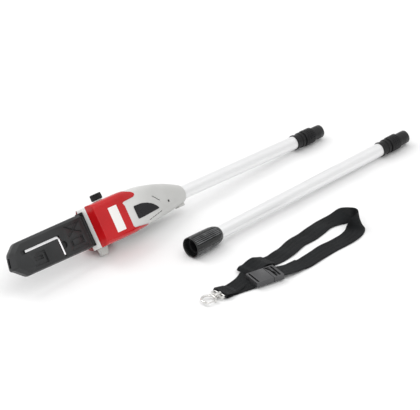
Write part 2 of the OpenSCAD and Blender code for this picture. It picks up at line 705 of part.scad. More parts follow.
// Side-release buckle: the socket stays, the clip slides out of it.
module buckle_socket() color("black") in_buckle() difference() {
    translate([0, -buckle_w / 2, 0]) cube([female_len, buckle_w, buckle_h]);
    translate([12, -buckle_w / 2 + buckle_side, buckle_wall])
        cube([female_len, buckle_w - 2 * buckle_side, prong_gap]);
    for (y = [-buckle_w, buckle_w - 20]) translate([16, y, buckle_wall]) cube([14, 20, prong_gap]);
    translate([4, -web_slot / 2, -1]) cube([4, web_slot, buckle_h + 2]);
}
module buckle_clip() color("black") in_buckle() translate([female_len + slip, 0, 0]) difference() {
    union() {
        translate([0, -buckle_w / 2, 0]) cube([male_len, buckle_w, buckle_h]);
        for (y = [-buckle_w / 2 + buckle_side + slip, buckle_w / 2 - buckle_side - prong_w - slip])
            translate([-24, y, buckle_wall + slip]) cube([25, prong_w, prong_gap - 2 * slip]);
        translate([-18, -prong_w / 2, buckle_wall + slip]) cube([19, prong_w, prong_gap - 2 * slip]);
    }
    for (x = [6, 14]) translate([x, -web_slot / 2, -1]) cube([4.5, web_slot, buckle_h + 2]);
}

// Swivel eye held by the strap's end fold, and the snap hook that turns in it.
eye_z = 6.2;
eye_half = web_w / 2 - 4;
eye_t = 4.4;
module swivel_eye() color("silver") in_strap() translate([eye_x, tail_end[1], eye_z]) difference() {
    union() {
        translate([0, -eye_half, 0]) rotate([-90, 0, 0]) cylinder(r = 2.4, h = 2 * eye_half);
        for (y = [-eye_half, eye_half - 3]) translate([-9, y, -eye_t / 2]) cube([10, 3, eye_t]);
        translate([-11, -eye_half, -eye_t / 2]) cube([3.4, 2 * eye_half, eye_t]);
        rotate([0, -90, 0]) cylinder(r = 5.6, h = 15);
    }
    rotate([0, -90, 0]) cylinder(r = 2 + run_fit, h = 40);
    translate([-6.6, -8, -7]) cube([4.6, 16, 14]);
}
hook_r = 15;
hook_reach = 33;
gate_at = -62;
gate_len = 13.8;
module in_hook() in_strap() {
    translate([eye_x - hook_reach, tail_end[1], eye_z]) children();
}
module at_gate() {
    translate([hook_r * cos(gate_at), hook_r * sin(gate_at), 0]) children();
}
module snap_hook() color("silver") in_hook() {
    pin_x(0, 0, 2, hook_r - 0.6, hook_reach - 4.6);
    pin_x(0, 0, 4.5, hook_reach - 6.3, hook_reach - 2.4);
    rotate(gate_at + 17) rotate_extrude(angle = 276) translate([hook_r, 0]) circle(r = hook_wire_r);
    for (z = [-3.6, 2]) at_gate() rotate(gate_at + 94) translate([-3, -2, z]) cube([8.5, 4, 1.6]);
    at_gate() translate([0, 0, -3.6]) cylinder(r = 1.2, h = 7.2);
}
module hook_gate() color("silver") in_hook() at_gate() difference() {
    union() {
        translate([0, 0, -1.7]) cylinder(r = 2.7, h = 3.4);
        rotate([0, -90, -6]) translate([0, 0, 1]) cylinder(r = 1.5, h = gate_len);
    }
    translate([0, 0, -5]) cylinder(r = 1.2 + run_fit, h = 10);
}

side_shell();
back_shell();
side_cover();
label_plate();
badge_plate();
front_guard();
foot();
sprocket_cover();
cover_screw();
housing_screws();
nose_clamp();
clamp_screws();
oil_tank();
oil_pump();
oil_cap();
cap_seal();
gear_plate();
gear_case();
bar_pad();
bar_stud();
tension_screw();
tension_nut();
guide_bar();
saw_chain();
nose_sprocket();
scabbard();
hex_key();
spindle();
drive_gear();
drive_sprocket();
bearings();
motor_can();
field_magnets();
armature();
pinion();
head_tube();
head_lead();
head_coupling();
head_plug();
head_contacts();
head_seals();
ext_tube();
ext_lead();
ext_coupling();
ext_plug();
ext_contacts();
ext_seals();
coupling_sleeve();
socket_liner();
strap_tail();
strap_far();
strap_turn();
strap_near();
strap_lead();
strap_slider();
buckle_socket();
buckle_clip();
swivel_eye();
snap_hook();
hook_gate();
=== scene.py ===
import json
import math

import bmesh
import bpy
from mathutils import Matrix, Vector


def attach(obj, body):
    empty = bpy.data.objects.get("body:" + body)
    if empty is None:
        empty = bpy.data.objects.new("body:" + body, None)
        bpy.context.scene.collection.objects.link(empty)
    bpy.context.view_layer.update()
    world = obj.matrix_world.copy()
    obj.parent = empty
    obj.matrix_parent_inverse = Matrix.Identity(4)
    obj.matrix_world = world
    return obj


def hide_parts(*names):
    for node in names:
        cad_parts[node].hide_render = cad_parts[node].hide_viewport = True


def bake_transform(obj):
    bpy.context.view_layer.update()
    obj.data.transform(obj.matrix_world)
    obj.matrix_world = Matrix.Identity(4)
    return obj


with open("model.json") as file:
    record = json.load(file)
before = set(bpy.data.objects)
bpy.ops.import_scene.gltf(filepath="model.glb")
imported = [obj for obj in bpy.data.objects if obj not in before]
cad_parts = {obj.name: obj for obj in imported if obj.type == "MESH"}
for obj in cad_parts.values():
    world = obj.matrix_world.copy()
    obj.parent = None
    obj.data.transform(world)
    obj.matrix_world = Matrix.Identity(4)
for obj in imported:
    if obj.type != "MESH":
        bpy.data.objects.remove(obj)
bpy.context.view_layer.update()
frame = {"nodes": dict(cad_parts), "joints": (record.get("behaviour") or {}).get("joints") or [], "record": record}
MM = 0.001

# ---------------------------------------------------------------- the frame's own directions and places
JOINT = {j["name"]: j for j in frame["joints"]}


def joint_axis(name):
    return Vector(JOINT[name]["axis"]).normalized()


def joint_place(name):
    return Vector(JOINT[name]["pos_m"])


def axes_matrix(x, y, z, origin):
    """World from a local frame in millimetres."""
    turn = Matrix((x, y, z)).transposed().to_4x4()
    return Matrix.Translation(origin) @ turn @ Matrix.Scale(MM, 4)


# Head: +X towards the plug, +Z up in use, -Y out of the covered side, x = 0 at the housing's front.
HEAD_X = -joint_axis("scabbard_slide")
HEAD_Y = joint_axis("spindle_turn")
HEAD_Z = joint_axis("oil_cap_turn")
SPINDLE = Vector((45, 0, 10))
HEAD_TURN = Matrix((HEAD_X, HEAD_Y, HEAD_Z)).transposed()
HEAD = axes_matrix(HEAD_X, HEAD_Y, HEAD_Z, joint_place("spindle_turn") - HEAD_TURN @ SPINDLE * MM)

# Extension: +X towards its plug, x = 0 at the sleeve's mouth.
EXT_X = joint_axis("sleeve_turn")
EXT_Y = Vector((0, 0, 1)).cross(EXT_X).normalized()
EXT = axes_matrix(EXT_X, EXT_Y, EXT_X.cross(EXT_Y), joint_place("sleeve_turn") - EXT_X * 40 * MM)

# Plain scale from millimetres to metres, for pieces drawn where they stand in the frame.
GROUND = Matrix.Scale(MM, 4)

# ---------------------------------------------------------------- camera, light and floor
VIEW_TURN, VIEW_RISE, VIEW_FAR = math.radians(45.2), math.radians(31.0), 30.0
PIXEL_MM = 2.09
SENSOR = 36.0
LOOK_AT = Vector((0.030, 0.104, 0.007))


def make_camera():
    forward = Vector((math.cos(VIEW_TURN) * math.cos(VIEW_RISE), math.sin(VIEW_TURN) * math.cos(VIEW_RISE),
                      -math.sin(VIEW_RISE)))
    data = bpy.data.cameras.new("camera")
    data.sensor_width = SENSOR
    data.lens = SENSOR * VIEW_FAR / (420 * PIXEL_MM * MM)
    data.clip_end = 100
    camera = bpy.data.objects.new("camera", data)
    bpy.context.scene.collection.objects.link(camera)
    camera.location = LOOK_AT - forward * VIEW_FAR
    camera.rotation_euler = forward.to_track_quat("-Z", "Y").to_euler()
    bpy.context.scene.camera = camera


def area_light(name, place, aim, size, power, colour=(1, 1, 1)):
    data = bpy.data.lights.new(name, "AREA")
    data.shape = "DISK"
    data.size = size
    data.energy = power
    data.color = colour
    light = bpy.data.objects.new(name, data)
    light.location = place
    light.rotation_euler = (Vector(aim) - Vector(place)).to_track_quat("-Z", "Y").to_euler()
    bpy.context.scene.collection.objects.link(light)


def make_stage():
    world = bpy.data.worlds.new("studio")
    bpy.context.scene.world = world
    world.use_nodes = True
    world.node_tree.nodes["Background"].inputs["Color"].default_value = (1, 1, 1, 1)
    world.node_tree.nodes["Background"].inputs["Strength"].default_value = 0.8
    area_light("key", (-0.6, 2.2, 2.7), (0, 0, 0), 2.4, 36)
    area_light("fill", (-2.4, -1.8, 2.0), (0, 0, 0), 2.4, 13)
    area_light("top", (0.6, -0.3, 2.9), (0, 0, 0), 2.6, 14)
    bpy.context.scene.view_settings.view_transform = "Standard"
    bpy.context.scene.view_settings.look = "None"
    half = 14
    mesh = bpy.data.meshes.new("floor")
    mesh.from_pydata([(-half, -half, 0), (half, -half, 0), (half, half, 0), (-half, half, 0)], [],
        [(0, 1, 2, 3)])
    floor = bpy.data.objects.new("floor", mesh)
    bpy.context.scene.collection.objects.link(floor)
    floor.location.z = -0.0004
    floor.data.materials.append(paint("floor_paint", (0.93, 0.93, 0.93), 0.9, speckle=0.01, grain=40,
        bump=0.0))


# ---------------------------------------------------------------- materials
def material(name):
    made = bpy.data.materials.new(name)
    made.use_nodes = True
    nodes, links = made.node_tree.nodes, made.node_tree.links
    return made, nodes, links, nodes["Principled BSDF"]


def object_coordinates(nodes, links, matrix=None, stretch=(1, 1, 1)):
    """Coordinates in metres along a local frame's axes, stretched for drawn or brushed grain."""
    place = nodes.new("ShaderNodeTexCoord")
    mapping = nodes.new("ShaderNodeMapping")
    mapping.vector_type = "POINT"
    if matrix is not None:
        turn = matrix.to_3x3().normalized().inverted().to_euler()
        mapping.inputs["Rotation"].default_value = turn
    links.new(place.outputs["Object"], mapping.inputs["Vector"])
    scale = nodes.new("ShaderNodeVectorMath")
    scale.operation = "MULTIPLY"
    scale.inputs[1].default_value = stretch
    links.new(mapping.outputs["Vector"], scale.inputs[0])
    return scale.outputs["Vector"]


def noise(nodes, links, vector, scale, detail=4.0):
    texture = nodes.new("ShaderNodeTexNoise")
    texture.inputs["Scale"].default_value = scale
    texture.inputs["Detail"].default_value = detail
    links.new(vector, texture.inputs["Vector"])
    return texture.outputs["Fac"]


def spread(nodes, links, value, low, high, start=0.3, end=0.7):
    """Maps a noise to a range of values."""
    ramp = nodes.new("ShaderNodeMapRange")
    for socket, number in zip(("From Min", "From Max", "To Min", "To Max"), (start, end, low, high)):
        ramp.inputs[socket].default_value = number
    links.new(value, ramp.inputs["Value"])
    return ramp.outputs["Result"]


def tint(nodes, links, value, dark, light):
    ramp = nodes.new("ShaderNodeValToRGB")
    ramp.color_ramp.elements[0].position = 0.3
    ramp.color_ramp.elements[0].color = (*dark, 1)
    ramp.color_ramp.elements[1].position = 0.72
    ramp.color_ramp.elements[1].color = (*light, 1)
    links.new(value, ramp.inputs["Fac"])
    return ramp.outputs["Color"]


def bumped(nodes, links, shader, value, depth, strength=1.0):
    bump = nodes.new("ShaderNodeBump")
    bump.inputs["Strength"].default_value = strength
    bump.inputs["Distance"].default_value = depth
    links.new(value, bump.inputs["Height"])
    links.new(bump.outputs["Normal"], shader.inputs["Normal"])


def paint(name, colour, rough, speckle=0.06, grain=900, bump=0.00004, coat=0.0, metallic=0.0, patch=14,
        shine=0.5):
    """Moulded or painted surface: slow patches of tone, uneven gloss and a fine moulded grain."""
    made, nodes, links, shader = material(name)
    place = object_coordinates(nodes, links)
    slow = noise(nodes, links, place, patch, 3)
    fine = noise(nodes, links, place, grain, 2)
    dark = tuple(c * (1 - speckle) for c in colour)
    light = tuple(min(1, c * (1 + speckle) + speckle * 0.02) for c in colour)
    links.new(tint(nodes, links, slow, dark, light), shader.inputs["Base Color"])
    links.new(spread(nodes, links, slow, rough * 0.88, min(1, rough * 1.14)), shader.inputs["Roughness"])
    shader.inputs["Metallic"].default_value = metallic
    shader.inputs["Specular IOR Level"].default_value = shine
    shader.inputs["Coat Weight"].default_value = coat
    shader.inputs["Coat Roughness"].default_value = 0.12
    if bump:
        bumped(nodes, links, shader, fine, bump)
    return made


def metal(name, colour, rough, matrix=None, stretch=(1, 1, 1), grain=600, bump=0.000006, spread_by=0.35,
        metallic=1.0, deep=0.86):
    """Metal with drawn or ground grain along one axis and a little handling wear."""
    made, nodes, links, shader = material(name)
    place = object_coordinates(nodes, links, matrix, stretch)
    lines = noise(nodes, links, place, grain, 5)
    wear = noise(nodes, links, object_coordinates(nodes, links), 26, 4)
    dark = tuple(c * deep for c in colour)
    links.new(tint(nodes, links, lines, dark, colour), shader.inputs["Base Color"])
    both = nodes.new("ShaderNodeMath")
    both.operation = "ADD"
    links.new(spread(nodes, links, lines, rough * (1 - spread_by), rough * (1 + spread_by)), both.inputs[0])
    links.new(spread(nodes, links, wear, -0.04, 0.06), both.inputs[1])
    links.new(both.outputs["Value"], shader.inputs["Roughness"])
    shader.inputs["Metallic"].default_value = metallic
    bumped(nodes, links, shader, lines, bump)
    return made


def wave_of(nodes, links, value, pitch):
    """Sine of a length in metres with the given pitch."""
    scale = nodes.new("ShaderNodeMath")
    scale.operation = "MULTIPLY"
    scale.inputs[1].default_value = 2 * math.pi / pitch
    links.new(value, scale.inputs[0])
    sine = nodes.new("ShaderNodeMath")
    sine.operation = "SINE"
    links.new(scale.outputs["Value"], sine.inputs[0])
    return sine.outputs["Value"]


def webbing(name):
    """Nylon webbing: herringbone weave from the ribbon's own length and width, greyed a little by wear."""
    made, nodes, links, shader = material(name)
    uv = nodes.new("ShaderNodeUVMap")
    uv.uv_map = "ribbon"
    split = nodes.new("ShaderNodeSeparateXYZ")
    links.new(uv.outputs["UV"], split.inputs["Vector"])
    # Chevrons: the length is shifted by how far a point is from the nearest chevron's spine.
    fold = nodes.new("ShaderNodeMath")
    fold.operation = "PINGPONG"
    fold.inputs[1].default_value = 0.005
    links.new(split.outputs["Y"], fold.inputs[0])
    slant = nodes.new("ShaderNodeMath")
    slant.operation = "ADD"
    links.new(split.outputs["X"], slant.inputs[0])
    links.new(fold.outputs["Value"], slant.inputs[1])
    rows = wave_of(nodes, links, slant.outputs["Value"], 0.0021)
    warps = wave_of(nodes, links, split.outputs["Y"], 0.00125)
    weave = nodes.new("ShaderNodeMath")
    weave.operation = "MULTIPLY_ADD"
    weave.inputs[1].default_value = 0.5
    links.new(warps, weave.inputs[0])
    links.new(rows, weave.inputs[2])
    slow = noise(nodes, links, object_coordinates(nodes, links), 30, 4)
    mix = nodes.new("ShaderNodeMath")
    mix.operation = "MULTIPLY_ADD"
    mix.inputs[1].default_value = 0.16
    links.new(weave.outputs["Value"], mix.inputs[0])
    links.new(slow, mix.inputs[2])
    links.new(tint(nodes, links, mix.outputs["Value"], (0.005, 0.0055, 0.006), (0.017, 0.0185, 0.02)),
              shader.inputs["Base Color"])
    links.new(spread(nodes, links, slow, 0.62, 0.8), shader.inputs["Roughness"])
    shader.inputs["Specular IOR Level"].default_value = 0.15
    shader.inputs["Sheen Weight"].default_value = 0.05
    shader.inputs["Sheen Roughness"].default_value = 0.4
    bumped(nodes, links, shader, weave.outputs["Value"], 0.00022, 0.8)
    return made


def crest_highlight_paint(name, colour, crest_highlight, rough):
    """Black moulding with a painted highlight along its rib crests, uneven along them."""
    made, nodes, links, shader = material(name)
    crest = nodes.new("ShaderNodeAttribute")
    crest.attribute_name = "crest"
    place = object_coordinates(nodes, links)
    slow = noise(nodes, links, place, 60, 4)
    both = nodes.new("ShaderNodeMath")
    both.operation = "MULTIPLY"
    links.new(crest.outputs["Fac"], both.inputs[0])
    links.new(spread(nodes, links, slow, 0.45, 0.85), both.inputs[1])
    links.new(tint(nodes, links, both.outputs["Value"], colour, crest_highlight), shader.inputs["Base Color"])
    links.new(spread(nodes, links, slow, rough * 0.85, rough * 1.2), shader.inputs["Roughness"])
    shader.inputs["Specular IOR Level"].default_value = 0.5
    bumped(nodes, links, shader, noise(nodes, links, place, 1500, 2), 0.00003)
    return made


def painted_light_along_head(name, near, far, start, end, rough, coat, metallic):
    """Silver shell with painted light and shade along the head: the near tone is painted lighter at the front and
    the far tone darker towards the nose, with slow patches over it.
    """
    made, nodes, links, shader = material(name)
    split = nodes.new("ShaderNodeSeparateXYZ")
    links.new(object_coordinates(nodes, links, HEAD), split.inputs["Vector"])
    front = (HEAD.to_3x3().normalized().inverted() @ HEAD.translation).x
    place = object_coordinates(nodes, links)
    slow = noise(nodes, links, place, 16, 3)
    both = nodes.new("ShaderNodeMath")
    both.operation = "ADD"
    links.new(spread(nodes, links, split.outputs["X"], 0.3, 0.72, front + start * MM, front + end * MM),
        both.inputs[0])
    links.new(spread(nodes, links, slow, -0.05, 0.05), both.inputs[1])
    links.new(tint(nodes, links, both.outputs["Value"], near, far), shader.inputs["Base Color"])
    links.new(spread(nodes, links, slow, rough * 0.88, rough * 1.14), shader.inputs["Roughness"])
    shader.inputs["Metallic"].default_value = metallic
    shader.inputs["Coat Weight"].default_value = coat
    shader.inputs["Coat Roughness"].default_value = 0.12
    bumped(nodes, links, shader, noise(nodes, links, place, 1400, 2), 0.00002)
    return made


# silver_plastic: painted light at the housing's front (0.84) fading to painted shade towards the nose (0.56).
MATERIALS = {"silver_plastic": painted_light_along_head("silver_painted_light", (0.84, 0.84, 0.825), (0.56, 0.56, 0.545), 8, 190,
    0.34, 0.2, 0.15), "red_plastic": paint("red_gloss", (0.52, 0.003, 0.006), 0.24, 0.1, 500, 0.00002,
    coat=0.12, shine=0.35), "label": paint("label_film", (0.9, 0.885, 0.86), 0.42, 0.03, 1200, 0.00001),
    "badge": paint("badge_black", (0.01, 0.01, 0.012), 0.28, 0.2, 900, 0.00001, shine=0.25),
    "black_plastic": paint("moulded_black", (0.008, 0.008, 0.009), 0.46, 0.25, 1300, 0.00008, shine=0.25),
    "dark_plastic": paint("moulded_grey", (0.05, 0.05, 0.054), 0.5, 0.15, 1300, 0.00008),
    "foot_plastic": paint("foot_grey", (0.56, 0.56, 0.54), 0.5, 0.06, 1200, 0.00006),
    "tank_plastic": paint("tank_polythene", (0.75, 0.73, 0.62), 0.45, 0.05, 700, 0.00005),
    "scabbard_plastic": paint("scabbard_black", (0.017, 0.018, 0.019), 0.34, 0.3, 1500, 0.00007,
    shine=0.42), "coupling_plastic": paint("coupling_black", (0.008, 0.008, 0.009), 0.4, 0.3, 1200, 0.00006,
    shine=0.28), "plug_plastic": paint("plug_black", (0.014, 0.014, 0.015), 0.34, 0.25, 900, 0.00003,
    # sleeve_plastic: black, with a painted highlight of (0.19, 0.195, 0.2) on the rib crests.
    shine=0.35), "sleeve_plastic": crest_highlight_paint("sleeve_black", (0.011, 0.0115, 0.0115), (0.19, 0.195, 0.2),
    0.26), "buckle_plastic": paint("buckle_acetal", (0.048, 0.048, 0.051), 0.26, 0.25, 1000, 0.00003,
    shine=0.6), "steel": metal("machined_steel", (0.58, 0.58, 0.6), 0.34),
    "black_screw": metal("blackened_steel", (0.07, 0.07, 0.075), 0.42), "bar_steel": metal("ground_bar",
    (0.66, 0.66, 0.67), 0.3, HEAD, (0.05, 1, 1)), "chain_steel": metal("chain_steel", (0.3, 0.3, 0.32),
    0.38), "bright_steel": metal("plated_steel", (0.86, 0.86, 0.87), 0.16, HEAD, (0.1, 1, 1)),
    "magnet": paint("ferrite", (0.06, 0.06, 0.07), 0.6, 0.2, 900), "copper_winding": metal("winding",
    (0.75, 0.36, 0.18), 0.4), "cast_alloy": metal("cast_alloy", (0.62, 0.62, 0.63), 0.5, grain=300,
    bump=0.00004), "tube_aluminium": metal("drawn_aluminium", (0.9, 0.902, 0.905), 0.38, HEAD, (0.02, 1, 1),
    900, 0.000001, 0.12, 0.6, 0.95), "lead_sheath": paint("lead_rubber", (0.02, 0.02, 0.02), 0.6, 0.2),
    "contact_brass": metal("contact_brass", (0.78, 0.6, 0.28), 0.25), "seal_rubber": paint("seal_rubber",
    (0.02, 0.02, 0.02), 0.7, 0.2), "webbing": webbing("nylon_webbing"), "hook_metal": metal("nickel",
    (0.8, 0.79, 0.77), 0.2, grain=200), }
NODE_SLOT = {s["node"]: s["material_slot"] for s in frame["record"]["subparts"]}
LID_PAINT = paint("lid_dark_red", (0.24, 0.004, 0.008), 0.3, 0.12, 900, 0.00004, shine=0.35)
THREAD = paint("stitch_thread", (0.09, 0.09, 0.095), 0.7, 0.2, 2500, 0.00005)


# ---------------------------------------------------------------- mesh helpers
def new_object(name, mesh):
    made = bpy.data.objects.new(name, mesh)
    bpy.context.scene.collection.objects.link(made)
    return made


def mesh_object(name, verts, faces):
    mesh = bpy.data.meshes.new(name)
    mesh.from_pydata([tuple(v) for v in verts], [], faces)
    mesh.validate()
    made = new_object(name, mesh)
    tidy_normals(made)
    return made


def tidy_normals(piece):
    bm = bmesh.new()
    bm.from_mesh(piece.data)
    bmesh.ops.recalc_face_normals(bm, faces=bm.faces)
    bm.to_mesh(piece.data)
    bm.free()


def apply_modifiers(piece):
    bpy.context.view_layer.update()
    graph = bpy.context.evaluated_depsgraph_get()
    made = bpy.data.meshes.new_from_object(piece.evaluated_get(graph))
    piece.modifiers.clear()
    piece.data = made


def combine(piece, other, how, keep=False):
    """Boolean with the exact solver."""
    step = piece.modifiers.new(how, "BOOLEAN")
    step.operation = how
    step.solver = "EXACT"
    step.object = other
    apply_modifiers(piece)
    if not keep:
        bpy.data.objects.remove(other)
    return piece


def rounded(piece, width, segments=3, angle=35):
    step = piece.modifiers.new("round", "BEVEL")
    step.width = width
    step.segments = segments
    step.limit_method = "ANGLE"
    step.angle_limit = math.radians(angle)
    step.miter_outer = "MITER_ARC"
    apply_modifiers(piece)
    return piece


def sharpened(piece, angle=32):
    """Smooth faces with edges sharper than the angle kept crisp."""
    bm = bmesh.new()
    bm.from_mesh(piece.data)
    limit = math.radians(angle)
    for face in bm.faces:
        face.smooth = True
    for edge in bm.edges:
        edge.smooth = not (len(edge.link_faces) == 2 and edge.calc_face_angle(0) > limit)
    bm.to_mesh(piece.data)
    bm.free()
    return piece


def cleaned(piece, gap=0.0005):
    """Merges doubled points and joins flat faces, in the piece's own unit."""
    bm = bmesh.new()
    bm.from_mesh(piece.data)
    bmesh.ops.remove_doubles(bm, verts=bm.verts, dist=gap)
    bmesh.ops.dissolve_limit(bm, angle_limit=math.radians(0.5), verts=bm.verts, edges=bm.edges)
    bmesh.ops.recalc_face_normals(bm, faces=bm.faces)
    bm.to_mesh(piece.data)
    bm.free()
    return piece


def settle(piece, matrix, body, slot, nodes=(), angle=32):
    """Puts a finished piece drawn in millimetres into the frame, on its body, in place of its CAD nodes."""
    piece.data.transform(matrix)
    sharpened(piece, angle)
    piece.data.materials.clear()
    piece.data.materials.append(MATERIALS[slot])
    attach(piece, body)
    for node in nodes:
        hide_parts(node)
    return piece


def prism(name, outline, low, high, axis="y"):
    """Outline extruded along y (outline in x, z) or z (outline in x, y)."""
    n = len(outline)
    if axis == "y":
        verts = [(x, low, z) for x, z in outline] + [(x, high, z) for x, z in outline]
    else:
        verts = [(x, y, low) for x, y in outline] + [(x, y, high) for x, y in outline]
    faces = [tuple(range(n)), tuple(range(2 * n - 1, n - 1, -1))]
    faces += [(i, (i + 1) % n, n + (i + 1) % n, n + i) for i in range(n)]
    return mesh_object(name, verts, faces)


def block(name, low, high):
    return prism(name, [(low[0], low[1]), (high[0], low[1]), (high[0], high[1]), (low[0], high[1])],
                 low[2], high[2], "z")


def circle(cx, cy, r, n=48, start=0.0):
    return [(cx + r * math.cos(start + 2 * math.pi * i / n), cy + r * math.sin(start + 2 * math.pi * i / n))
            for i in range(n)]


def filleted(outline, radius, steps=5):
    """Outline with its corners rounded."""
    made = []
    n = len(outline)
    for i in range(n):
        before, corner, after = (Vector(outline[(i + k) % n]) for k in (-1, 0, 1))
        to_before, to_after = before - corner, after - corner
        reach = min(radius, to_before.length * 0.45, to_after.length * 0.45)
        a, b = corner + to_before.normalized() * reach, corner + to_after.normalized() * reach
        for k in range(steps + 1):
            t = k / steps
            made.append(tuple(a * (1 - t) ** 2 + corner * 2 * t * (1 - t) + b * t ** 2))
    return made


def lathe(name, profile, steps=96):
    """Closed ring swept round the X axis from a closed profile of (x, r)."""
    n = len(profile)
    verts = [(x, r * math.cos(a), r * math.sin(a))
             for a in (2 * math.pi * i / steps for i in range(steps)) for x, r in profile]
    faces = [(i * n + k, i * n + (k + 1) % n, ((i + 1) % steps) * n + (k + 1) % n, ((i + 1) % steps) * n + k)
             for i in range(steps) for k in range(n)]
    return mesh_object(name, verts, faces)


def loft(name, sections):
    """Closed rings of equal length joined in order, with flat ends."""
    n = len(sections[0])
    verts = [v for section in sections for v in section]
    faces = [(s * n + i, s * n + (i + 1) % n, (s + 1) * n + (i + 1) % n, (s + 1) * n + i)
             for s in range(len(sections) - 1) for i in range(n)]
    faces += [tuple(range(n)), tuple(len(verts) - 1 - i for i in range(n))]
    return mesh_object(name, verts, faces)


def copy_of(node, name):
    """A copy of a CAD node's mesh in millimetres of the frame, cleaned for bevels."""
    made = new_object(name, frame["nodes"][node].data.copy())
    made.data.transform(Matrix.Scale(1 / MM, 4))
    return cleaned(made)


def soften(node, body, width=0.5, segments=2, angle=35):
    """The CAD node's own shape with its edges broken."""
    piece = rounded(copy_of(node, node + "_soft"), width, segments, angle)
    return settle(piece, GROUND, body, NODE_SLOT[node], [node])


make_camera()
make_stage()
for node, cad in frame["nodes"].items():
    cad.data.materials.clear()
    cad.data.materials.append(MATERIALS[NODE_SLOT[node]])

# ---------------------------------------------------------------- housing
HOUSING_LEN, COVER_LEN, COVER_STEP, WALL = 272.0, 79.0, 24.0, 2.5
TOP, BOTTOM, SIDE, BACK, NOSE = 56.0, 35.5, 50.0, 42.0, 16.5
CORNER_Y, CORNER_Z = 12.0, 24.0
TAPER = [(0, 0, 0, 0), (0.16, 0.03, 0.09, 0.1), (0.32, 0.08, 0.21, 0.25), (0.46, 0.18, 0.27, 0.4),
         (0.585, 0.3, 0.4, 0.53), (0.725, 0.47, 0.5, 0.68), (0.85, 0.68, 0.69, 0.82),
         (0.95, 0.88, 0.83, 0.93), (1, 1, 1, 1)]
BAR_Z, SLOT_HALF, SLOT_DEPTH = 10.0, 29.0, 5.0
SEAM = 0.3


def share(x, column):
    """How much of the fall from the deep front to the nose is reached at x, without kinks."""
    along = min(1.0, max(0.0, (x - COVER_LEN) / (HOUSING_LEN - COVER_LEN)))
    for k in range(len(TAPER) - 1):
        a, b = TAPER[k], TAPER[k + 1]
        if along <= b[0]:
            before = TAPER[max(0, k - 1)]
            after = TAPER[min(len(TAPER) - 1, k + 2)]
            run = b[0] - a[0]
            t = (along - a[0]) / run
            slope_a = (b[column] - before[column]) / (b[0] - before[0]) if k else 0.0
            slope_b = (after[column] - a[column]) / (after[0] - a[0])
            return ((2 * t ** 3 - 3 * t ** 2 + 1) * a[column] + (t ** 3 - 2 * t ** 2 + t) * run * slope_a
                    + (3 * t ** 2 - 2 * t ** 3) * b[column] + (t ** 3 - t ** 2) * run * slope_b)
    return 1.0


def housing_section(x, grow, steps=144):
    """Ring round the housing at x: flat sides with rounded corners in front, round at the nose."""
    top = TOP - (TOP - NOSE) * share(x, 1) + grow
    bottom = BOTTOM - (BOTTOM - NOSE) * share(x, 2) + grow
    side = SIDE - (SIDE - NOSE) * share(x, 3) + grow
    back = BACK - (BACK - NOSE) * share(x, 3) + grow
    middle, half = (top - bottom) / 2, (top + bottom) / 2
    along = min(1.0, max(0.0, (x - COVER_LEN) / (HOUSING_LEN - COVER_LEN)))
    power_side = 7.0 - 4.9 * along ** 0.8
    power_back = 5.0 - 2.9 * along
    near = max(0.0, 1 - x / 16) ** 2
    corner_y, corner_z = CORNER_Y - 4 * near, CORNER_Z - 13 * near
    slant = math.hypot(TOP - corner_z, BACK - corner_y)
    run_z, run_y = (TOP - corner_z) / slant, (BACK - corner_y) / slant
    cut = min(1.0, max(0.0, (82 - x) / 14))
    cut = cut * cut * (3 - 2 * cut)
    ring = []
    for i in range(steps):
        a = 2 * math.pi * i / steps
        c, s = math.cos(a), math.sin(a)
        power, reach = (power_side, side) if c < 0 else (power_back, back)
        scale = (abs(c) ** power + abs(s) ** power) ** (-1 / power)
        y, z = c * scale * reach, middle + s * scale * half
        over = max(0.0, (y - corner_y) * run_z + (z - TOP) * run_y - grow) * cut
        y, z = y - over * run_z, z - over * run_y
        under = max(0.0, (y - 6) * 0.66 - (z + BOTTOM) * 0.75 - grow) * min(1.0, near * 1.6)
        ring.append((x, y - under * 0.66, z + under * 0.75))
    return ring


def housing(name, grow, front=0.0, lip=2.2):
    """Solid housing form, grown by an amount, with its front edge and nose rounded over."""
    end = HOUSING_LEN + min(0, grow * 3.2 if grow < 0 else 0)
    ease = [0.0, 0.12, 0.3, 0.6, 1.0]
    sections = [housing_section(front + lip * t, grow - lip * (1 - math.sqrt(1 - (1 - t) ** 2)))
        for t in ease]
    inner = [6, 12, 20, 30, 40, 50, 60, 70, 76]
    tail = [COVER_LEN + (HOUSING_LEN - 9 - COVER_LEN) * k / 34 for k in range(35)]
    sections += [housing_section(x, grow) for x in inner + tail if front + lip < x < end - 8]
    nose = [(8 * math.sin(math.pi / 2 * k / 6), 4.5 * (1 - math.cos(math.pi / 2 * k / 6))) for k in range(7)]
    sections += [housing_section(end - 8 + dx, grow - drop) for dx, drop in nose]
    return loft(name, sections)


COVER_OUTLINE = [(-12, -90), (COVER_LEN + 54, -90), (COVER_LEN + 54, -31.4), (COVER_LEN + 50, -30.2),
    (COVER_LEN + 4, -26), (COVER_LEN, -22), (COVER_LEN, 24), (COVER_LEN - 3, 31), (COVER_LEN + 2, 33),
    (COVER_LEN + 34, 34.5), (COVER_LEN + 39, 37), (COVER_LEN + 40, 41), (COVER_LEN + 34, 46),
    (COVER_LEN + 22, 51), (COVER_LEN + 13, 57), (COVER_LEN + 10, 64), (COVER_LEN + 10, 90), (-12, 90)]


def grown_outline(points, by):
    """Outline moved outward by an amount, for corners listed counter-clockwise."""
    made = []
    n = len(points)
    for i in range(n):
        a, b, c = (Vector(points[(i + k) % n]) for k in (-1, 0, 1))
        n1 = Vector(((b - a).y, -(b - a).x)).normalized()
        n2 = Vector(((c - b).y, -(c - b).x)).normalized()
        out = (n1 + n2).normalized()
        made.append(tuple(b + out * by / max(0.4, out.dot(n1))))
    return made


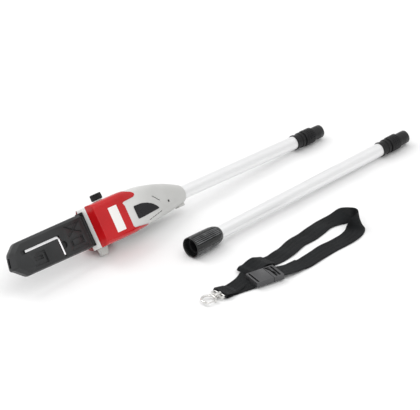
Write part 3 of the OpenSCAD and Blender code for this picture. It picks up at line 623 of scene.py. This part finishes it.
def make_housing():
    far = 120
    inner = housing("inner", -WALL, front=WALL)
    mouth = block("mouth", (-30, -SLOT_DEPTH, BAR_Z - SLOT_HALF), (8, SLOT_DEPTH, BAR_Z + SLOT_HALF))
    tube_hole = lathe("tube_hole", [(190, 0.01), (190, 14.1), (300, 14.1), (300, 0.01)])
    neck_hole = prism("neck_hole", circle(59, 0, 9.5), 30, 90, "z")

    cover = housing("side_cover_skin", 0.7)
    combine(cover, prism("area", COVER_OUTLINE, -far, -COVER_STEP), "INTERSECT")
    combine(cover, inner, "DIFFERENCE", keep=True)
    settle(rounded(cover, 0.7, 3, 42), HEAD, "head", "red_plastic", ["side_cover"])

    side = housing("side_shell_skin", 0.0)
    combine(side, block("half", (-50, -SEAM / 2, -200), (400, 200, 200)), "DIFFERENCE")
    combine(side, prism("area", grown_outline(COVER_OUTLINE, SEAM), -far, -COVER_STEP + SEAM), "DIFFERENCE")
    combine(side, inner, "DIFFERENCE", keep=True)
    for hole in (mouth, tube_hole, neck_hole):
        combine(side, hole, "DIFFERENCE", keep=True)
    slit = prism("slit", [(166.5, 19.2), (168, 20.6), (184.6, 5.4), (183.2, 4)], -far, -12)
    combine(side, slit, "DIFFERENCE")
    combine(side, prism("screw_hole", circle(209, -3.6, 2.9), -far, -12), "DIFFERENCE")
    for i in range(5):
        x, z = 134 + i * 9.5, -24.5 + i * 1.5
        vent = filleted([(x, z), (x + 7, z + 1), (x + 7, z + 2.8), (x, z + 1.8)], 0.7, 3)
        combine(side, prism("vent", vent, -far, -8), "DIFFERENCE")
    settle(rounded(side, 0.45, 2, 42), HEAD, "head", "silver_plastic", ["side_shell"])

    back = housing("back_shell_skin", 0.0)
    combine(back, block("half", (-50, -200, -200), (400, SEAM / 2, 200)), "DIFFERENCE")
    combine(back, block("area", (-20, SLOT_DEPTH + 0.5 - SEAM, -150), (67.5 + SEAM, 200, 150)), "DIFFERENCE")
    combine(back, inner, "DIFFERENCE", keep=True)
    for hole in (mouth, tube_hole, neck_hole):
        combine(back, hole, "DIFFERENCE", keep=True)
    for i in range(6):
        x = 120 + i * 10
        vent = filleted([(x, -12), (x + 5, -12), (x + 5, 26), (x, 26)], 2.4, 4)
        combine(back, prism("vent", vent, 12, far), "DIFFERENCE")
    settle(rounded(back, 0.45, 2, 42), HEAD, "head", "silver_plastic", ["back_shell"])

    lid = housing("sprocket_cover_skin", 0.0)
    combine(lid, block("area", (-20, SLOT_DEPTH + 0.5, -150), (67.5, 200, 150)), "INTERSECT")
    combine(lid, inner, "DIFFERENCE", keep=True)
    combine(lid, prism("screw_seat", circle(14, BAR_Z, 4), 0, far), "DIFFERENCE")
    combine(lid, prism("screw_seat", circle(14, BAR_Z, 8), 41, far), "DIFFERENCE")
    combine(lid, block("neck_notch", (49.5, 0, 34), (68.5 - 0.1, 9.5, 90)), "DIFFERENCE")
    settle(rounded(lid, 0.6, 3, 42), HEAD, "sprocket_cover", "dark_plastic", ["sprocket_cover"])
    lid.data.materials[0] = LID_PAINT

    label = housing("label_skin", 1.25)
    combine(label, prism("area", filleted([(34, -21), (58.5, -21), (58.5, 34), (34, 34)], 1.5, 3), -far, -30),
            "INTERSECT")
    combine(label, housing("under", 0.75), "DIFFERENCE")
    settle(rounded(label, 0.15, 2, 42), HEAD, "head", "label", ["label_plate"])

    leaf = [(101, -13), (118, -12.6), (173, -9.4), (171, -5), (159, 5), (143.5, 11.5), (126, 15.3), (101, 16)]
    badge = housing("badge_skin", 0.8)
    combine(badge, prism("area", filleted(leaf, 4, 5), -far, -15), "INTERSECT")
    combine(badge, housing("under", 0.05), "DIFFERENCE")
    settle(rounded(badge, 0.3, 2, 42), HEAD, "head", "badge", ["badge_plate"])
    for cutter in (inner, mouth, tube_hole, neck_hole):
        bpy.data.objects.remove(cutter)


make_housing()

# ---------------------------------------------------------------- scabbard and hex key
MOUTH_X, TIP_X = -4.5, -226.5
SHEATH_LOW, SHEATH_HIGH = -27.25, 47.25
FACE_Y, BACK_Y = -12.0, 8.0
KEY_X, KEY_Z, KEY_AF, KEY_LONG, KEY_SHORT = -86.0, 22.0, 5.0, 95.0, 40.0


def sheath_outline(top, tip, low):
    """Seen from its face: long octagonal sheath drawn in by its own amount at the top, the tip and below."""
    return [(MOUTH_X, SHEATH_LOW + low), (TIP_X + 34 + tip * 0.3, SHEATH_LOW + low),
            (TIP_X + 9 + tip, SHEATH_LOW + 19 + low * 0.3), (TIP_X + tip, SHEATH_LOW + 24),
            (TIP_X + 8 + tip, SHEATH_HIGH - 18 - top * 0.4), (TIP_X + 33 + tip * 0.6, SHEATH_HIGH - top),
            (MOUTH_X, SHEATH_HIGH - top)]


def hexagon(cx, cy, r):
    return circle(cx, cy, r, 6, math.radians(30))


def make_scabbard():
    rings = []
    for y, top, tip, low in ((BACK_Y, 2, 3, 2), (BACK_Y - 2.5, 0, 0, 0), (FACE_Y + 6.5, 0, 0, 0),
            (FACE_Y + 6.0, 0.4, 0.5, 0.2), (FACE_Y + 0.6, 5.2, 10.5, 2.6), (FACE_Y, 6.0, 11.6, 3.2)):
        rings.append([(x, y, z) for x, z in filleted(sheath_outline(top, tip, low), 6, 5)])
    sheath = loft("scabbard_form", rings)
    cuts = []
    cavity = [(MOUTH_X + 24, BAR_Z - SLOT_HALF), (TIP_X + 28, BAR_Z - SLOT_HALF), (TIP_X + 13, -6),
              (TIP_X + 13, 24), (TIP_X + 28, BAR_Z + SLOT_HALF), (MOUTH_X + 24, BAR_Z + SLOT_HALF)]
    cuts.append(prism("cavity", cavity, -SLOT_DEPTH, SLOT_DEPTH))
    spare, deep = KEY_AF / 2 + 0.7, FACE_Y + KEY_AF
    long_arm = filleted([(KEY_X - KEY_LONG - 9, KEY_Z - spare - 0.6), (KEY_X + spare, KEY_Z - spare),
        (KEY_X + spare, KEY_Z + spare), (KEY_X - KEY_LONG - 9, KEY_Z + spare + 0.6)], 1.6)
    cuts.append(prism("long_recess", long_arm, FACE_Y - 2, deep))
    short_arm = filleted([(KEY_X - spare, KEY_Z - KEY_SHORT - 2.5), (KEY_X + spare, KEY_Z - KEY_SHORT - 2.5),
                          (KEY_X + spare, KEY_Z + spare - 0.1), (KEY_X - spare, KEY_Z + spare - 0.1)], 1.6)
    cuts.append(prism("short_recess", short_arm, FACE_Y - 2, deep - 0.05))
    cuts.append(prism("finger_notch", circle(KEY_X + 7.5, KEY_Z - 20, 8, 40), FACE_Y - 2, deep + 0.1))
    pocket = filleted([(KEY_X - KEY_LONG - 12, KEY_Z - 4.6), (KEY_X - KEY_LONG + 3, KEY_Z - 4.6),
                       (KEY_X - KEY_LONG + 3, KEY_Z + 4.2), (KEY_X - KEY_LONG - 12, KEY_Z + 4.2)], 2)
    cuts.append(prism("pocket", pocket, FACE_Y - 2, deep + 0.2))
    cuts.append(block("drain", (TIP_X - 3, -4, 2), (TIP_X + 9, 1.5, 22)))
    # Plain sunk frames, each line with a raised bead along its upper side: nothing is written in them.
    marks = []

    def bar(x0, z0, x1, z1, width, low, high):
        a, b = Vector((x0, z0)), Vector((x1, z1))
        along = (b - a).normalized() * width / 2
        side = Vector((-along.y, along.x))
        a, b = a - along, b + along
        outline = [tuple(a - side), tuple(b - side), tuple(b + side), tuple(a + side)]
        return prism("mark", filleted(outline, 0.7, 2), FACE_Y + low, FACE_Y + high)

    for x0, z0, x1, z1 in ((-170, -16, -134, -16), (-134, -16, -134, 9), (-134, 9, -158, 9),
            (-164, -5, -144, -5), (-164, 1.5, -144, 1.5), (-144, -5, -144, 1.5), (-62, -17, -20, -17),
            (-56, -9, -26, -9), (-26, -9, -26, 4), (-56, 4, -26, 4), (-56, -9, -56, 4), (-58, 13, -24, 33),
            (-58, 33, -41, 22), (-41, 22, -24, 13), (-62, 35, -20, 35)):
        cuts.append(bar(x0, z0, x1, z1, 2.6, -1.0, 1.8))
        shift = Vector((-(z1 - z0), x1 - x0)).normalized() * 2.1
        marks.append(bar(x0 + shift.x, z0 + shift.y, x1 + shift.x, z1 + shift.y, 1.2, -0.8, 0.5))
    cuts.append(block("band_line", (-10.5, FACE_Y - 2, SHEATH_LOW + 6), (-8.5, FACE_Y + 1.2,
        SHEATH_HIGH - 8)))
    for cut in cuts:
        combine(sheath, cut, "DIFFERENCE")
    rounded(sheath, 0.5, 2, 28)
    settle(sheath, HEAD, "scabbard", "scabbard_plastic", ["scabbard"], 30)
    for mark in marks:
        rounded(mark, 0.3, 2, 40)
        settle(mark, HEAD, "scabbard", "scabbard_plastic")
    join(marks, "scabbard_marks")


def join(parts, name):
    """Joins finished pieces that share a body and a material."""
    first = parts[0]
    bm = bmesh.new()
    for part in parts:
        bm.from_mesh(part.data)
    bm.to_mesh(first.data)
    bm.free()
    for part in parts[1:]:
        bpy.data.objects.remove(part)
    first.name = name
    return first


def make_hex_key():
    """Hexagon bar bent through a quarter circle, with ground ends."""
    bend, y = 6.5, FACE_Y + KEY_AF / 2 - 0.9
    r = KEY_AF / 2 / math.cos(math.radians(30))
    path = [(KEY_X - KEY_LONG, KEY_Z, 0.86), (KEY_X - KEY_LONG + 0.5, KEY_Z, 1.0),
        (KEY_X - KEY_LONG + 30, KEY_Z, 1.0), (KEY_X - KEY_LONG + 60, KEY_Z, 1.0)]
    for k in range(11):
        a = math.pi / 2 * (1 - k / 10)
        path.append((KEY_X - bend + bend * math.cos(a), KEY_Z - bend + bend * math.sin(a), 1.0))
    path += [(KEY_X, KEY_Z - 25, 1.0), (KEY_X, KEY_Z - KEY_SHORT + 0.5, 1.0), (KEY_X, KEY_Z - KEY_SHORT,
        0.86)]
    sections = []
    for i, (x, z, size) in enumerate(path):
        a, b = path[max(0, i - 1)], path[min(len(path) - 1, i + 1)]
        along = Vector((b[0] - a[0], 0, b[1] - a[1])).normalized()
        out = Vector((-along.z, 0, along.x))
        ring = []
        for px, py in hexagon(0, 0, r * size):
            ring.append(Vector((x, y, z)) + out * px + Vector((0, 1, 0)) * py)
        sections.append(ring)
    settle(loft("hex_key_bent", sections), HEAD, "hex_key", "bright_steel", ["hex_key"], 25)


# ---------------------------------------------------------------- small pieces of the head
CAP_X, CAP_R, CAP_LOW, CAP_HIGH, CAP_STEPS = 59.0, 12.4, 59.0, 72.5, 216


def level_ring(x, r, z, steps):
    return [(x + r * math.cos(2 * math.pi * i / steps), r * math.sin(2 * math.pi * i / steps), z)
        for i in range(steps)]


def make_cap():
    low, high, r = CAP_LOW, CAP_HIGH, CAP_R
    sections = []
    for z, grow, depth in ((low, -0.9, 0.0), (low + 0.8, 0, 0.2), (low + 1.6, 0.1, 1.0),
            (high - 2.4, 0, 1.0), (high - 1.2, -0.3, 0.7), (high - 0.3, -1.2, 0.1), (high, -2.2, 0.0)):
        ring = []
        for i in range(CAP_STEPS):
            a = 2 * math.pi * i / CAP_STEPS
            wave = abs(math.sin(a * 12)) ** 0.7
            reach = r + grow - depth * (1 - wave)
            ring.append((CAP_X + reach * math.cos(a), reach * math.sin(a), z))
        sections.append(ring)
    for r_in, z in ((9.2, high), (8.8, high - 0.7), (3.5, high - 0.7)):
        sections.append(level_ring(CAP_X, r_in, z, CAP_STEPS))
    cap = loft("filler_cap", sections)
    settle(cap, HEAD, "oil_cap", "black_plastic", ["oil_cap"], 40)
    neck = []
    for z, r_at in ((50, 9.1), (57.5, 9.1), (58.6, 10.4), (58.95, 10.4)):
        neck.append(level_ring(CAP_X, r_at, z, 96))
    settle(loft("neck_collar", neck), HEAD, "head", "silver_plastic")


def shell_lug(name, low, high, slot, width=0.8):
    settle(rounded(block(name, low, high), width, 3), HEAD, "head", slot)


# ---------------------------------------------------------------- poles
TUBE_R, COLLAR_R, PLUG_R, BAND, COLLAR, PLUG = 14.0, 16.5, 13.8, 24.2, 25.5, 27.2


def make_coupling(prefix, ring_x, frame_matrix, body):
    collar_x = ring_x + BAND + 3
    plug_x = collar_x + COLLAR
    inner = 11.4
    profile = [(ring_x, TUBE_R + 0.05), (ring_x, TUBE_R + 1.2), (ring_x + 0.7, TUBE_R + 1.9),
        (ring_x + 3.6, TUBE_R + 1.9), (ring_x + 4.4, TUBE_R + 1.2), (ring_x + 4.6, TUBE_R + 0.5),
        (ring_x + 15.8, TUBE_R + 0.5), (ring_x + 16.0, TUBE_R + 1.3), (ring_x + 16.6, TUBE_R + 1.9),
        (ring_x + 21.2, TUBE_R + 1.9), (ring_x + 21.8, TUBE_R + 1.3), (ring_x + 22.0, TUBE_R - 0.5),
        (ring_x + 26.2, TUBE_R - 0.5), (collar_x - 0.6, COLLAR_R - 1.2), (collar_x + 0.6, COLLAR_R - 0.2)]
    rib = (COLLAR - 1.6) / 5
    for i in range(5):
        start = collar_x + 1 + i * rib
        profile += [(start, COLLAR_R), (start + rib - 1.5, COLLAR_R), (start + rib - 1.2, COLLAR_R - 1.1),
            (start + rib - 0.3, COLLAR_R - 1.1)]
    profile += [(plug_x - 0.5, COLLAR_R - 0.9), (plug_x, COLLAR_R - 1.6), (plug_x, inner),
        (ring_x + 22, inner), (ring_x + 22, TUBE_R + 0.05)]
    coupling = lathe(prefix + "_coupling_turned", profile, 128)
    settle(coupling, frame_matrix, body, "coupling_plastic", [prefix + "_coupling"], 28)
    lugs = []
    for i in range(24):
        a = 2 * math.pi * i / 24
        lug = rounded(block("lug", (collar_x + 1.2, -0.85, COLLAR_R - 1.3), (plug_x - 1.4, 0.85,
            COLLAR_R + 0.15)), 0.3, 2)
        lug.data.transform(Matrix.Rotation(a, 4, "X"))
        lugs.append(settle(lug, frame_matrix, body, "coupling_plastic"))
    join(lugs, prefix + "_collar_grips")
    end = plug_x + PLUG
    plug = lathe(prefix + "_plug_turned", [(plug_x - 10, inner - 0.1), (plug_x + 0.05, inner - 0.1),
        (plug_x + 0.05, PLUG_R - 0.3), (plug_x + 0.4, PLUG_R), (plug_x + 5.9, PLUG_R),
        (plug_x + 6.1, PLUG_R - 0.8), (plug_x + 8.1, PLUG_R - 0.8), (plug_x + 8.3, PLUG_R),
        (plug_x + 11.9, PLUG_R), (plug_x + 12.1, PLUG_R - 0.8), (plug_x + 14.1, PLUG_R - 0.8),
        (plug_x + 14.3, PLUG_R), (end - 2.4, PLUG_R), (end - 1.2, PLUG_R - 0.5), (end - 0.3, PLUG_R - 1.6),
        (end, PLUG_R - 2.6), (end, 2.2), (end - 11, 2.2), (plug_x - 10, 3.6)], 128)
    settle(plug, frame_matrix, body, "plug_plastic", [prefix + "_plug"], 28)


def make_tube(name, start, end, frame_matrix, body, node):
    tube = lathe(name, [(start, TUBE_R), (end, TUBE_R), (end, TUBE_R - 1.2), (start, TUBE_R - 1.2)], 128)
    settle(tube, frame_matrix, body, "tube_aluminium", [node], 40)


SLEEVE_LEN, SLEEVE_R, RIB_PITCH = 84.0, 22.5, 10.5


def make_sleeve():
    """Fluted sleeve: four groups of five narrow ribs with smooth panels between them."""
    steps = 480
    inner = COLLAR_R + 1.6
    crests = []
    stations = [(58, inner, 0), (9, inner, 0), (2.4, SLEEVE_R - 2.6, 0), (0.3, SLEEVE_R - 1.7, 0),
        (0, SLEEVE_R - 1.3, 0), (0.3, SLEEVE_R - 0.7, 0), (1.2, SLEEVE_R - 0.1, 0), (2.2, SLEEVE_R, 0.2),
        (3.4, SLEEVE_R, 1), (6.4, SLEEVE_R, 1), (20, SLEEVE_R - 0.2, 1), (35, SLEEVE_R - 0.5, 1),
        (50, SLEEVE_R - 0.9, 1), (62, SLEEVE_R - 1.4, 1), (68, SLEEVE_R - 1.9, 1), (73, SLEEVE_R - 2.9, 1),
        (77, SLEEVE_R - 4.2, 0.9), (80, SLEEVE_R - 5.4, 0.5), (82.5, SLEEVE_R - 6.8, 0.1),
        (84, SLEEVE_R - 8.1, 0)]
    verts = []
    for i in range(steps):
        a = 2 * math.pi * i / steps
        local = (math.degrees(a) + 45) % 90 - 45
        groove = max(math.exp(-(((local - (k + 0.5) * RIB_PITCH) / 2.7) ** 2)) for k in range(-3, 3))
        ribbed = 1.0 if abs(local) < 2.5 * RIB_PITCH else 0.0
        for x, r, flute in stations:
            reach = r - 1.9 * flute * groove
            verts.append((x, reach * math.cos(a + 0.55), reach * math.sin(a + 0.55)))
            crests.append(flute * (1 - groove) * ribbed)
    n = len(stations)
    faces = [(i * n + k, i * n + k + 1, ((i + 1) % steps) * n + k + 1, ((i + 1) % steps) * n + k)
        for i in range(steps) for k in range(n - 1)]
    sleeve = mesh_object("sleeve_fluted", verts, faces)
    # The crest attribute marks where the painted highlight lies along the rib crests.
    crest_highlight = sleeve.data.attributes.new("crest", "FLOAT", "POINT")
    crest_highlight.data.foreach_set("value", crests)
    settle(sleeve, EXT, "sleeve", "sleeve_plastic", ["coupling_sleeve"], 50)


# ---------------------------------------------------------------- strap
STRAP = Matrix.Translation(joint_place("hook_swivel") - Vector((-194, -162, 6.2)) * MM) @ Matrix.Scale(MM, 4)
WEB_W, WEB_T = 40.0, 1.7


def smooth_path(stations, per=10):
    """Catmull-Rom through the stations, component by component."""
    made = []
    n = len(stations)
    for i in range(n - 1):
        p0, p1, p2, p3 = stations[max(0, i - 1)], stations[i], stations[i + 1], stations[min(n - 1, i + 2)]
        for k in range(per):
            t = k / per
            made.append([0.5 * (2 * b + (c - a) * t + (2 * a - 5 * b + 4 * c - d) * t * t
                + (3 * b - a - 3 * c + d) * t ** 3) for a, b, c, d in zip(p0, p1, p2, p3)])
    made.append(list(stations[-1]))
    return made


def ribbon(name, left, right, body, nodes=(), thick=WEB_T, ripple=0.7, per=10, cells=12, swell=0.0):
    """Solid webbing between two edge lines of (x, y, z), with its own length and width as coordinates."""
    a_line, b_line = smooth_path(left, per), smooth_path(right, per)
    rows, length = [], 0.0
    before = None
    for i, (a, b) in enumerate(zip(a_line, b_line)):
        a, b = Vector(a), Vector(b)
        middle = (a + b) / 2
        if before is not None:
            length += (middle - before).length
        before = middle
        rows.append((a, b, length))
    verts, coordinates = [], []
    n = cells + 1
    for side in (1, -1):
        for i, (a, b, run) in enumerate(rows):
            a0, b0, _ = rows[max(0, i - 1)]
            a1, b1, _ = rows[min(len(rows) - 1, i + 1)]
            along = ((a1 + b1) - (a0 + b0)).normalized()
            across = (b - a).normalized()
            up = along.cross(across).normalized()
            for k in range(n):
                t = k / cells
                wave = ripple * (math.sin(run / 17 + 2.1 * t) + 0.6 * math.sin(run / 9.3 + 4 * t + 1)) * 0.5
                bow = swell * math.sin(math.pi * t)
                edge = 0.55 if k in (0, cells) else 1.0
                verts.append(a + (b - a) * t + up * (wave + bow + side * thick / 2 * edge))
                coordinates.append((run * MM, (b - a).length * t * MM))
    m = len(rows)
    faces = []
    for i in range(m - 1):
        for k in range(cells):
            q = (i * n + k, i * n + k + 1, (i + 1) * n + k + 1, (i + 1) * n + k)
            faces.append(q)
            faces.append(tuple(m * n + v for v in reversed(q)))
        for k in (0, cells):
            faces.append((i * n + k, (i + 1) * n + k, m * n + (i + 1) * n + k, m * n + i * n + k))
    for i in (0, m - 1):
        for k in range(cells):
            faces.append((i * n + k, i * n + k + 1, m * n + i * n + k + 1, m * n + i * n + k))
    piece = mesh_object(name, verts, faces)
    layer = piece.data.uv_layers.new(name="ribbon")
    for loop in piece.data.loops:
        layer.data[loop.index].uv = coordinates[loop.vertex_index]
    piece.data.transform(STRAP)
    sharpened(piece, 60)
    piece.data.materials.append(MATERIALS["webbing"])
    if body:
        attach(piece, body)
    for node in nodes:
        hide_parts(node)
    return piece


def stitches(name, rows, body, pitch=3.2):
    """Short raised threads along lines given as (start, end, up) in the strap's own millimetres."""
    parts = []
    for start, end, up in rows:
        start, end, up = Vector(start), Vector(end), Vector(up)
        count = int((end - start).length / pitch)
        along = (end - start).normalized()
        side = along.cross(up).normalized()
        for i in range(count):
            middle = start + along * (i + 0.5) * pitch
            half = along * pitch * 0.36
            sections = []
            for t, r in ((-1, 0.12), (-0.6, 0.36), (0, 0.42), (0.6, 0.36), (1, 0.12)):
                centre = middle + half * t + up * (0.16 - 0.25 * abs(t))
                sections.append([centre + side * r * math.cos(2 * math.pi * j / 8)
                    + up * r * math.sin(2 * math.pi * j / 8) for j in range(8)])
            part = loft("stitch", sections)
            part.data.transform(STRAP)
            for face in part.data.polygons:
                face.use_smooth = True
            part.data.materials.append(THREAD)
            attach(part, body)
            parts.append(part)
    return join(parts, name)


# The loop stands up at its turn: (x, y, height, lean), where a lean of 0 is flat outward,
# 90 upright and 180 flat inward.
LOOP_BASE = [(-76, -156.5, 4.5, 4), (-58, -155.5, 4.5, 2), (-44, -155, 3.0, 0), (-33, -156, 1.6, 0),
    (-16, -158.5, 1.4, 0), (4, -158.5, 1.4, 2), (26, -156, 2.2, 0), (42, -152.5, 1.2, 2),
    (58, -148, 1.2, 3), (74, -144.5, 1.4, 2), (92, -144.5, 1.4, 3), (110, -143.5, 1.2, 5),
    (124, -141, 1.2, 4), (137, -138.5, 1.2, 3), (148, -136, 1.2, 2), (157, -134, 1.2, 1),
    (166, -133.5, 1.2, 1), (180, -136, 1.2, 6), (193, -141, 1.2, 26), (204, -149, 1.2, 92),
    (212, -159.5, 1.2, 97), (216, -170, 1.2, 111), (213, -181, 1.2, 146), (204, -190.5, 1.2, 170),
    (191, -198, 1.2, 176), (174, -203.5, 1.2, 178), (156, -206, 1.2, 180), (138, -206.5, 1.2, 180),
    (121, -206.5, 1.2, 180), (104, -206.5, 1.4, 180), (88, -207.5, 1.6, 180), (70, -209, 1.2, 180),
    (54, -210.5, 1.2, 180), (38, -212.5, 1.6, 180), (22, -213.8, 1.6, 180), (6, -213, 2.2, 180)]


def loop_edges(base):
    ground, free = [], []
    n = len(base)
    for i, (x, y, z, lean) in enumerate(base):
        a, b = base[max(0, i - 1)], base[min(n - 1, i + 1)]
        along = Vector((b[0] - a[0], b[1] - a[1], 0)).normalized()
        outward = Vector((-along.y, along.x, 0))
        lean = math.radians(lean)
        ground.append((x, y, z))
        free.append(tuple(Vector((x, y, z)) + (outward * math.cos(lean)
            + Vector((0, 0, 1)) * math.sin(lean)) * WEB_W))
    return ground, free


def make_strap():
    ground, free = loop_edges(LOOP_BASE)
    ribbon("webbing_loop", ground, free, "strap", ["strap_far", "strap_turn", "strap_near"], ripple=0.9,
        per=8)
    # Near end of the loop: it runs up into the clip and is fixed in place on no body.
    near = ribbon("webbing_near_end", [(14, -173, 3.4), (0, -173, 3.6), (-16, -172.5, 4.2), (-32, -171, 7),
        (-46, -168.5, 10)], [(14, -213, 3.2), (0, -212.6, 3.6), (-16, -212, 4.2), (-34, -210.5, 7),
        (-50, -208.5, 10)], None, ["strap_lead"], ripple=0.4)
    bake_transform(near)
    # Tail from the hook's eye to the slider, in two layers, folded back over the eye's bar.
    ribbon("webbing_tail", [(-190, -144, 3.6), (-176, -144.5, 4.4), (-159, -144, 3.6), (-140, -142, 3.8),
        (-123, -138, 3.4), (-103, -130, 4.4), (-86, -122.5, 5.4), (-70, -120, 6.2)],
        [(-190, -183, 3.6), (-174, -182, 3.2), (-156, -180, 2.8), (-138, -176, 2.6), (-120, -170, 2.4),
        (-102, -162.5, 3.0), (-84, -157.5, 4.0), (-66, -156.5, 5.2)], "strap", ["strap_tail"], ripple=1.1,
        swell=1.2)
    ribbon("webbing_under_layer", [(-188, -142.6, 1.4), (-172, -142.6, 1.4), (-152, -145, 1.4),
        (-134, -149, 1.8), (-118, -152, 4.8)], [(-188, -181.6, 1.4), (-170, -183, 1.4), (-148, -187, 1.4),
        (-128, -192, 1.8), (-110, -196, 4.8)], "strap", (), ripple=0.5)
    fold = []
    for k in range(9):
        a = math.pi / 2 + math.pi * k / 8
        fold.append((-190 + 4.4 * math.cos(a), 6.0 + 4.4 * math.sin(a)))
    ribbon("webbing_end_fold", [(-166, -142.4, 4.6), (-178, -142.4, 7.4)] + [(x, -142.6, z) for x,
        z in fold] + [(-176, -142.4, 1.5)], [(-162, -182.2, 4.4), (-178, -182, 7.4)]
        + [(x, -181.6, z) for x, z in fold] + [(-176, -182, 1.5)], "strap", (), ripple=0.2, per=4)
    # Slack layer folded over at the slider.
    ribbon("webbing_slack", [(-104, -120, 6.6), (-94, -116.5, 9.6), (-82, -115, 8.2), (-70, -114.5, 11.0),
        (-54, -114.5, 12.6), (-42, -116, 9.2), (-30, -117.5, 5.0)], [(-94, -158, 5.4), (-86, -156, 8.4),
        (-76, -155.5, 7.4), (-62, -155.5, 9.6), (-46, -156, 11.0), (-34, -157.5, 8.0), (-24, -158, 4.6)],
        "strap", (), ripple=1.1, swell=1.2)
    stitches("tail_stitches", [((-163, -145, 6.4), (-161, -180, 6.2), (0, 0, 1)),
        ((-167, -145, 6.9), (-165, -180, 6.7), (0, 0, 1))], "strap")


# ---------------------------------------------------------------- run
make_scabbard()
make_hex_key()
make_cap()
shell_lug("nose_lug", (245, -7, -25.5), (262, 7, -19), "foot_plastic")
HEAD_RING_X, EXT_RING_X = HOUSING_LEN + 331.5, SLEEVE_LEN + 485
TUBE_LAP = BAND - 2.2
make_coupling("head", HEAD_RING_X, HEAD, "head")
make_coupling("ext", EXT_RING_X, EXT, "extension")
make_tube("head_tube_drawn", 212, HEAD_RING_X + TUBE_LAP, HEAD, "head", "head_tube")
make_tube("ext_tube_drawn", 50, EXT_RING_X + TUBE_LAP, EXT, "extension", "ext_tube")
make_sleeve()
make_strap()
settle(rounded(block("guard_plate", (-4, -11.6, -26), (-0.1, 11.6, 49)), 1.2, 3), HEAD, "head",
    "black_plastic", ["front_guard"])
for node, body, width in (("foot", "head", 1.4), ("strap_slider", "strap", 0.8),
        ("buckle_socket", "strap", 1.1), ("buckle_clip", "buckle_clip", 1.0), ("cover_screw", "cover_screw",
        0.4), ("swivel_eye", "strap", 0.5)):
    soften(node, body, width, 3)
for node, cad in frame["nodes"].items():
    if node in ("snap_hook", "hook_gate", "socket_liner"):
        sharpened(cad, 40)
